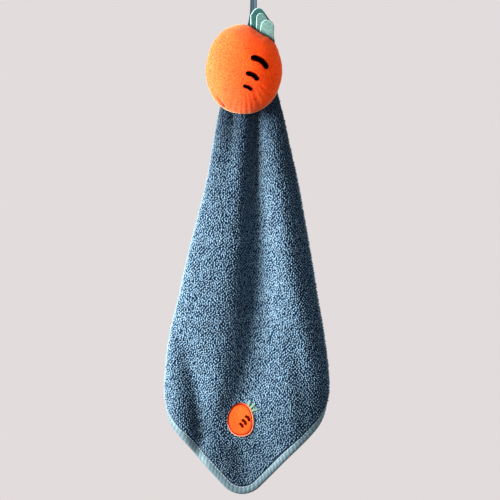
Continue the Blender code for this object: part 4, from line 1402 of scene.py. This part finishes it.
def make_strap():
    """The hanging strap: flat woven tape doubled into an eye, its ends on the head's seam."""
    rows = [(STRAP_FRONT_X, *place) for place in STRAP_FRONT]
    middle = LOOP_RADIUS + STRAP_THICK / 2.0
    for share in (k / EYE_STEPS for k in range(EYE_STEPS + 1)):
        turn = math.radians(EYE_START + (180.0 - 2.0 * EYE_START) * share)
        across = STRAP_FRONT_X + (STRAP_BACK_X - STRAP_FRONT_X) * share
        rows.append((across, -middle * math.cos(turn), LOOP_RADIUS - middle * math.sin(turn)))
    line = smooth_run(rows + list(STRAP_BACK), STRAP_PARTS)
    ahead = np.gradient(line, axis=0)
    length = np.hypot(ahead[:, 1], ahead[:, 2])
    normal = np.column_stack((np.zeros(len(line)), ahead[:, 2] / length, -ahead[:, 1] / length))
    half = STRAP_WIDTH / 2.0
    thick = STRAP_THICK / 2.0
    profile = STRAP_CUT + tuple((-side, -face) for side, face in STRAP_CUT)
    points = []
    marks = []
    for k, (place, away) in enumerate(zip(line, normal)):
        for side, face in profile:
            x = place[0] + side * half
            y = place[1] + face * thick * away[1]
            drop = place[2] + face * thick * away[2]
            if k in (0, len(line) - 1):
                drop = float(head_line(x, place[1] - thick)) - ROOT_GAP
            points.append((x, y, -drop))
            marks.append(0.5 + 0.5 * side)
    strap = make_piece("hanging_strap", points, tube([profile] * len(line)), finish_strap())
    face_out(strap)
    mark(strap, "across", marks)
    return strap


# ---------------- applique

def badge_flat(u, d):
    """Turn the applique's own measures into the cloth's flat ones."""
    return (BADGE_U + u * math.cos(BADGE_TILT) - d * math.sin(BADGE_TILT),
            BADGE_D + u * math.sin(BADGE_TILT) + d * math.cos(BADGE_TILT))


def badge_edge(angle):
    """The applique's outline, flattened a little at its upper left."""
    flattened = bell(np.degrees(angle) - BADGE_FLAT_AT, BADGE_FLAT_SPREAD)
    flat = 1.0 + BADGE_FULLNESS * np.sin(2.0 * angle) ** 2 - BADGE_FLAT * flattened
    return BADGE_HALF_WIDTH * flat * np.cos(angle), -BADGE_HALF_HEIGHT * flat * np.sin(angle)


def make_badge(fan):
    """The orange applique: a low dome with a pressed line inside its rim."""
    angle = np.linspace(0.0, 2 * math.pi, BADGE_SIDES, endpoint=False)
    low = CLOTH_THICK / 2.0 + BADGE_GAP - BADGE_EDGE_THICK
    top = low + BADGE_EDGE_THICK + BADGE_THICK
    # Painted highlight on the lower right of the rim, and painted shadow on its upper left
    facing = np.cos(angle + BADGE_HIGHLIGHT_SIDE)
    highlight_side = np.clip(BADGE_HIGHLIGHT_MEAN + facing, 0.0, 1.0)
    shadow_side = np.clip(BADGE_SHADOW_MEAN - BADGE_SHADOW_GAIN * facing, 0.0, 1.0)
    u, d = badge_edge(angle)
    rings = []
    marks = []
    highlights = []
    for share, rise, pressed_shade in BADGE_CUT:
        lift = np.full(BADGE_SIDES, low + (top - low) * rise)
        rings.append(hang(fan, *badge_flat(u * share, d * share), lift))
        marks.append(np.maximum(pressed_shade, shadow_side * (share > BADGE_SHADOW_FROM)))
        highlights.append(highlight_side * (share > BADGE_HIGHLIGHT_FROM))
    badge = make_piece("badge_applique", np.vstack(rings), tube(rings), finish_badge())
    face_out(badge)
    mark(badge, "crease", np.concatenate(marks))
    mark(badge, "pale_rim", np.concatenate(highlights))
    return badge


def make_badge_rim(fan):
    """Overlock stitches round the applique's edge."""
    count = BADGE_STITCHES
    u, d = badge_edge(np.radians(np.linspace(*BADGE_STITCH_ENDS, count)))
    inner = badge_flat(u * BADGE_STITCH_INNER, d * BADGE_STITCH_INNER)
    outer = badge_flat(u * BADGE_STITCH_OUTER, d * BADGE_STITCH_OUTER)
    lift = np.full(count, CLOTH_THICK / 2.0 + BADGE_GAP + BADGE_STITCH_LIFT)
    here = hang(fan, *inner, lift)
    stitch = make_stitch_shape("rim_stitch", width=0.75, height=0.35)
    made = sew("badge_rim_stitches", here, hang(fan, *outer, lift) - here, cloth_normal(fan, *inner),
               np.full(count, BADGE_STITCH_LENGTH), stitch,
               finish_thread("badge_rim_thread", rgb(222, 156, 128)), seed=41, uneven=0.2)
    discard(stitch)
    return made


# The applique's three small dashes and its green leaf, as photograph pixels and widths
BADGE_DASHES = (
    (((245.6, 416.4), (247.9, 417.4), (249.2, 420.6)), 3.2),
    (((242.2, 420.2), (244.4, 421.2), (245.7, 424.2)), 3.2),
    (((239.9, 423.6), (241.6, 424.8), (242.4, 427.0)), 3.0),
)
BADGE_LEAF = (
    (((248.8, 406.6), (249.4, 404.0), (250.5, 401.8)), 3.0),
    (((251.0, 408.2), (252.9, 406.0), (254.9, 404.8)), 3.0),
    (((252.9, 410.8), (255.1, 409.6), (257.3, 409.6)), 3.0),
)


# ---------------- everything in its place

FIBRE_PLAIN = finish_thread("plain_thread", rgb(180, 180, 180))
STITCHES = tree_stitches()

fan = build_fan()
ground, beds = make_ground(fan)
pile = make_pile(beds)
binding = make_binding(fan)
binding_stitches = make_binding_stitches(fan)
head = make_head()
black_thread = finish_thread("black_thread", rgb(3, 2, 2), roughness=0.9, sheen=0.0, depth=0.2, specular=0.0)
dashes = make_dashes("head_dashes", skin_of(head), HEAD_DASHES, black_thread, rise=0.10)
leaves = {name: make_leaf(name) for name in LEAVES}
strap = make_strap()
badge = make_badge(fan)
badge_rim = make_badge_rim(fan)
brown_thread = finish_thread("brown_thread", rgb(70, 12, 4), roughness=0.9, sheen=0.0, depth=0.2,
                             specular=0.0)
badge_dashes = make_dashes("badge_dashes", skin_of(badge), BADGE_DASHES, brown_thread, rise=0.05, pitch=0.34,
                           thread=0.45)
green_thread = finish_thread("green_thread", rgb(112, 150, 124), roughness=0.7)
badge_leaf = make_dashes("badge_leaf", skin_of(ground), BADGE_LEAF, green_thread, rise=1.5, pitch=0.5,
                         thread=0.6)

for piece in (ground, *pile, binding, binding_stitches, head, dashes, strap, badge, badge_rim, badge_dashes,
              badge_leaf):
    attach(piece, BODY)
for leaf, _, _ in leaves.values():
    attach(leaf, BODY)

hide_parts("cloth")
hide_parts("edge_binding")
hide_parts("plush_head")
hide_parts("hang_loop")
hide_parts("badge")
for name, (leaf, _, _) in leaves.items():
    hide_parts(name)


# ---------------- floor, light and camera

def make_floor():
    """A plain pale disc, well below the towel."""
    material, tree, shader, where = new_finish("floor_paper", roughness=0.9)
    paper = place_group(tree, FIBRE, where, rgb(138, 135, 135), Drift=0.03, Nap_Scale=300.0, Speckle=0.02)
    tree.links.new(paper["Colour"], shader.inputs["Base Color"])
    rim = [(FLOOR_RADIUS * math.cos(a), FLOOR_RADIUS * math.sin(a), -FLOOR_DROP)
           for a in np.linspace(0, 2 * math.pi, FLOOR_SIDES, endpoint=False)]
    floor = make_piece("floor", rim, [tuple(range(FLOOR_SIDES))], material)


def add_light(name, place, target, size, power, colour):
    """A soft square lamp, turned to its target."""
    data = bpy.data.lights.new(name, "AREA")
    data.size = size
    data.energy = power
    data.color = colour
    lamp = new_object(name, data)
    lamp.location = place
    lamp.rotation_euler = (Vector(target) - Vector(place)).to_track_quat("-Z", "Y").to_euler()


def light_studio():
    """The lamps, and a backdrop that the camera sees paler than it lights the towel."""
    scene = bpy.context.scene
    world = bpy.data.worlds.new("studio")
    scene.world = world
    world.use_nodes = True
    tree = world.node_tree
    tree.nodes.clear()
    seen = add(tree, "ShaderNodeBackground", Color=rgb(*BACKDROP), Strength=1.0)
    felt = add(tree, "ShaderNodeBackground", Color=rgb(*AMBIENT), Strength=AMBIENT_POWER)
    rays = tree.nodes.new("ShaderNodeLightPath")
    blend = add(tree, "ShaderNodeMixShader", in0=rays.outputs["Is Camera Ray"], in1=felt.outputs[0],
                in2=seen.outputs[0])
    add(tree, "ShaderNodeOutputWorld", in0=blend.outputs[0])
    for name, lamp in LAMPS.items():
        add_light(name, *lamp)
    scene.view_settings.view_transform = "Standard"


def set_camera():
    """The camera that took the photograph: level, and straight in front."""
    data = bpy.data.cameras.new("camera")
    data.lens = LENS
    data.sensor_width = SENSOR
    camera = new_object("camera", data)
    camera.location = (CAMERA_X * MM, -CAMERA_AWAY * MM, -CAMERA_DROP * MM)
    camera.rotation_euler = (math.radians(90.0), 0.0, 0.0)
    bpy.context.scene.camera = camera


make_floor()
light_studio()
set_camera()
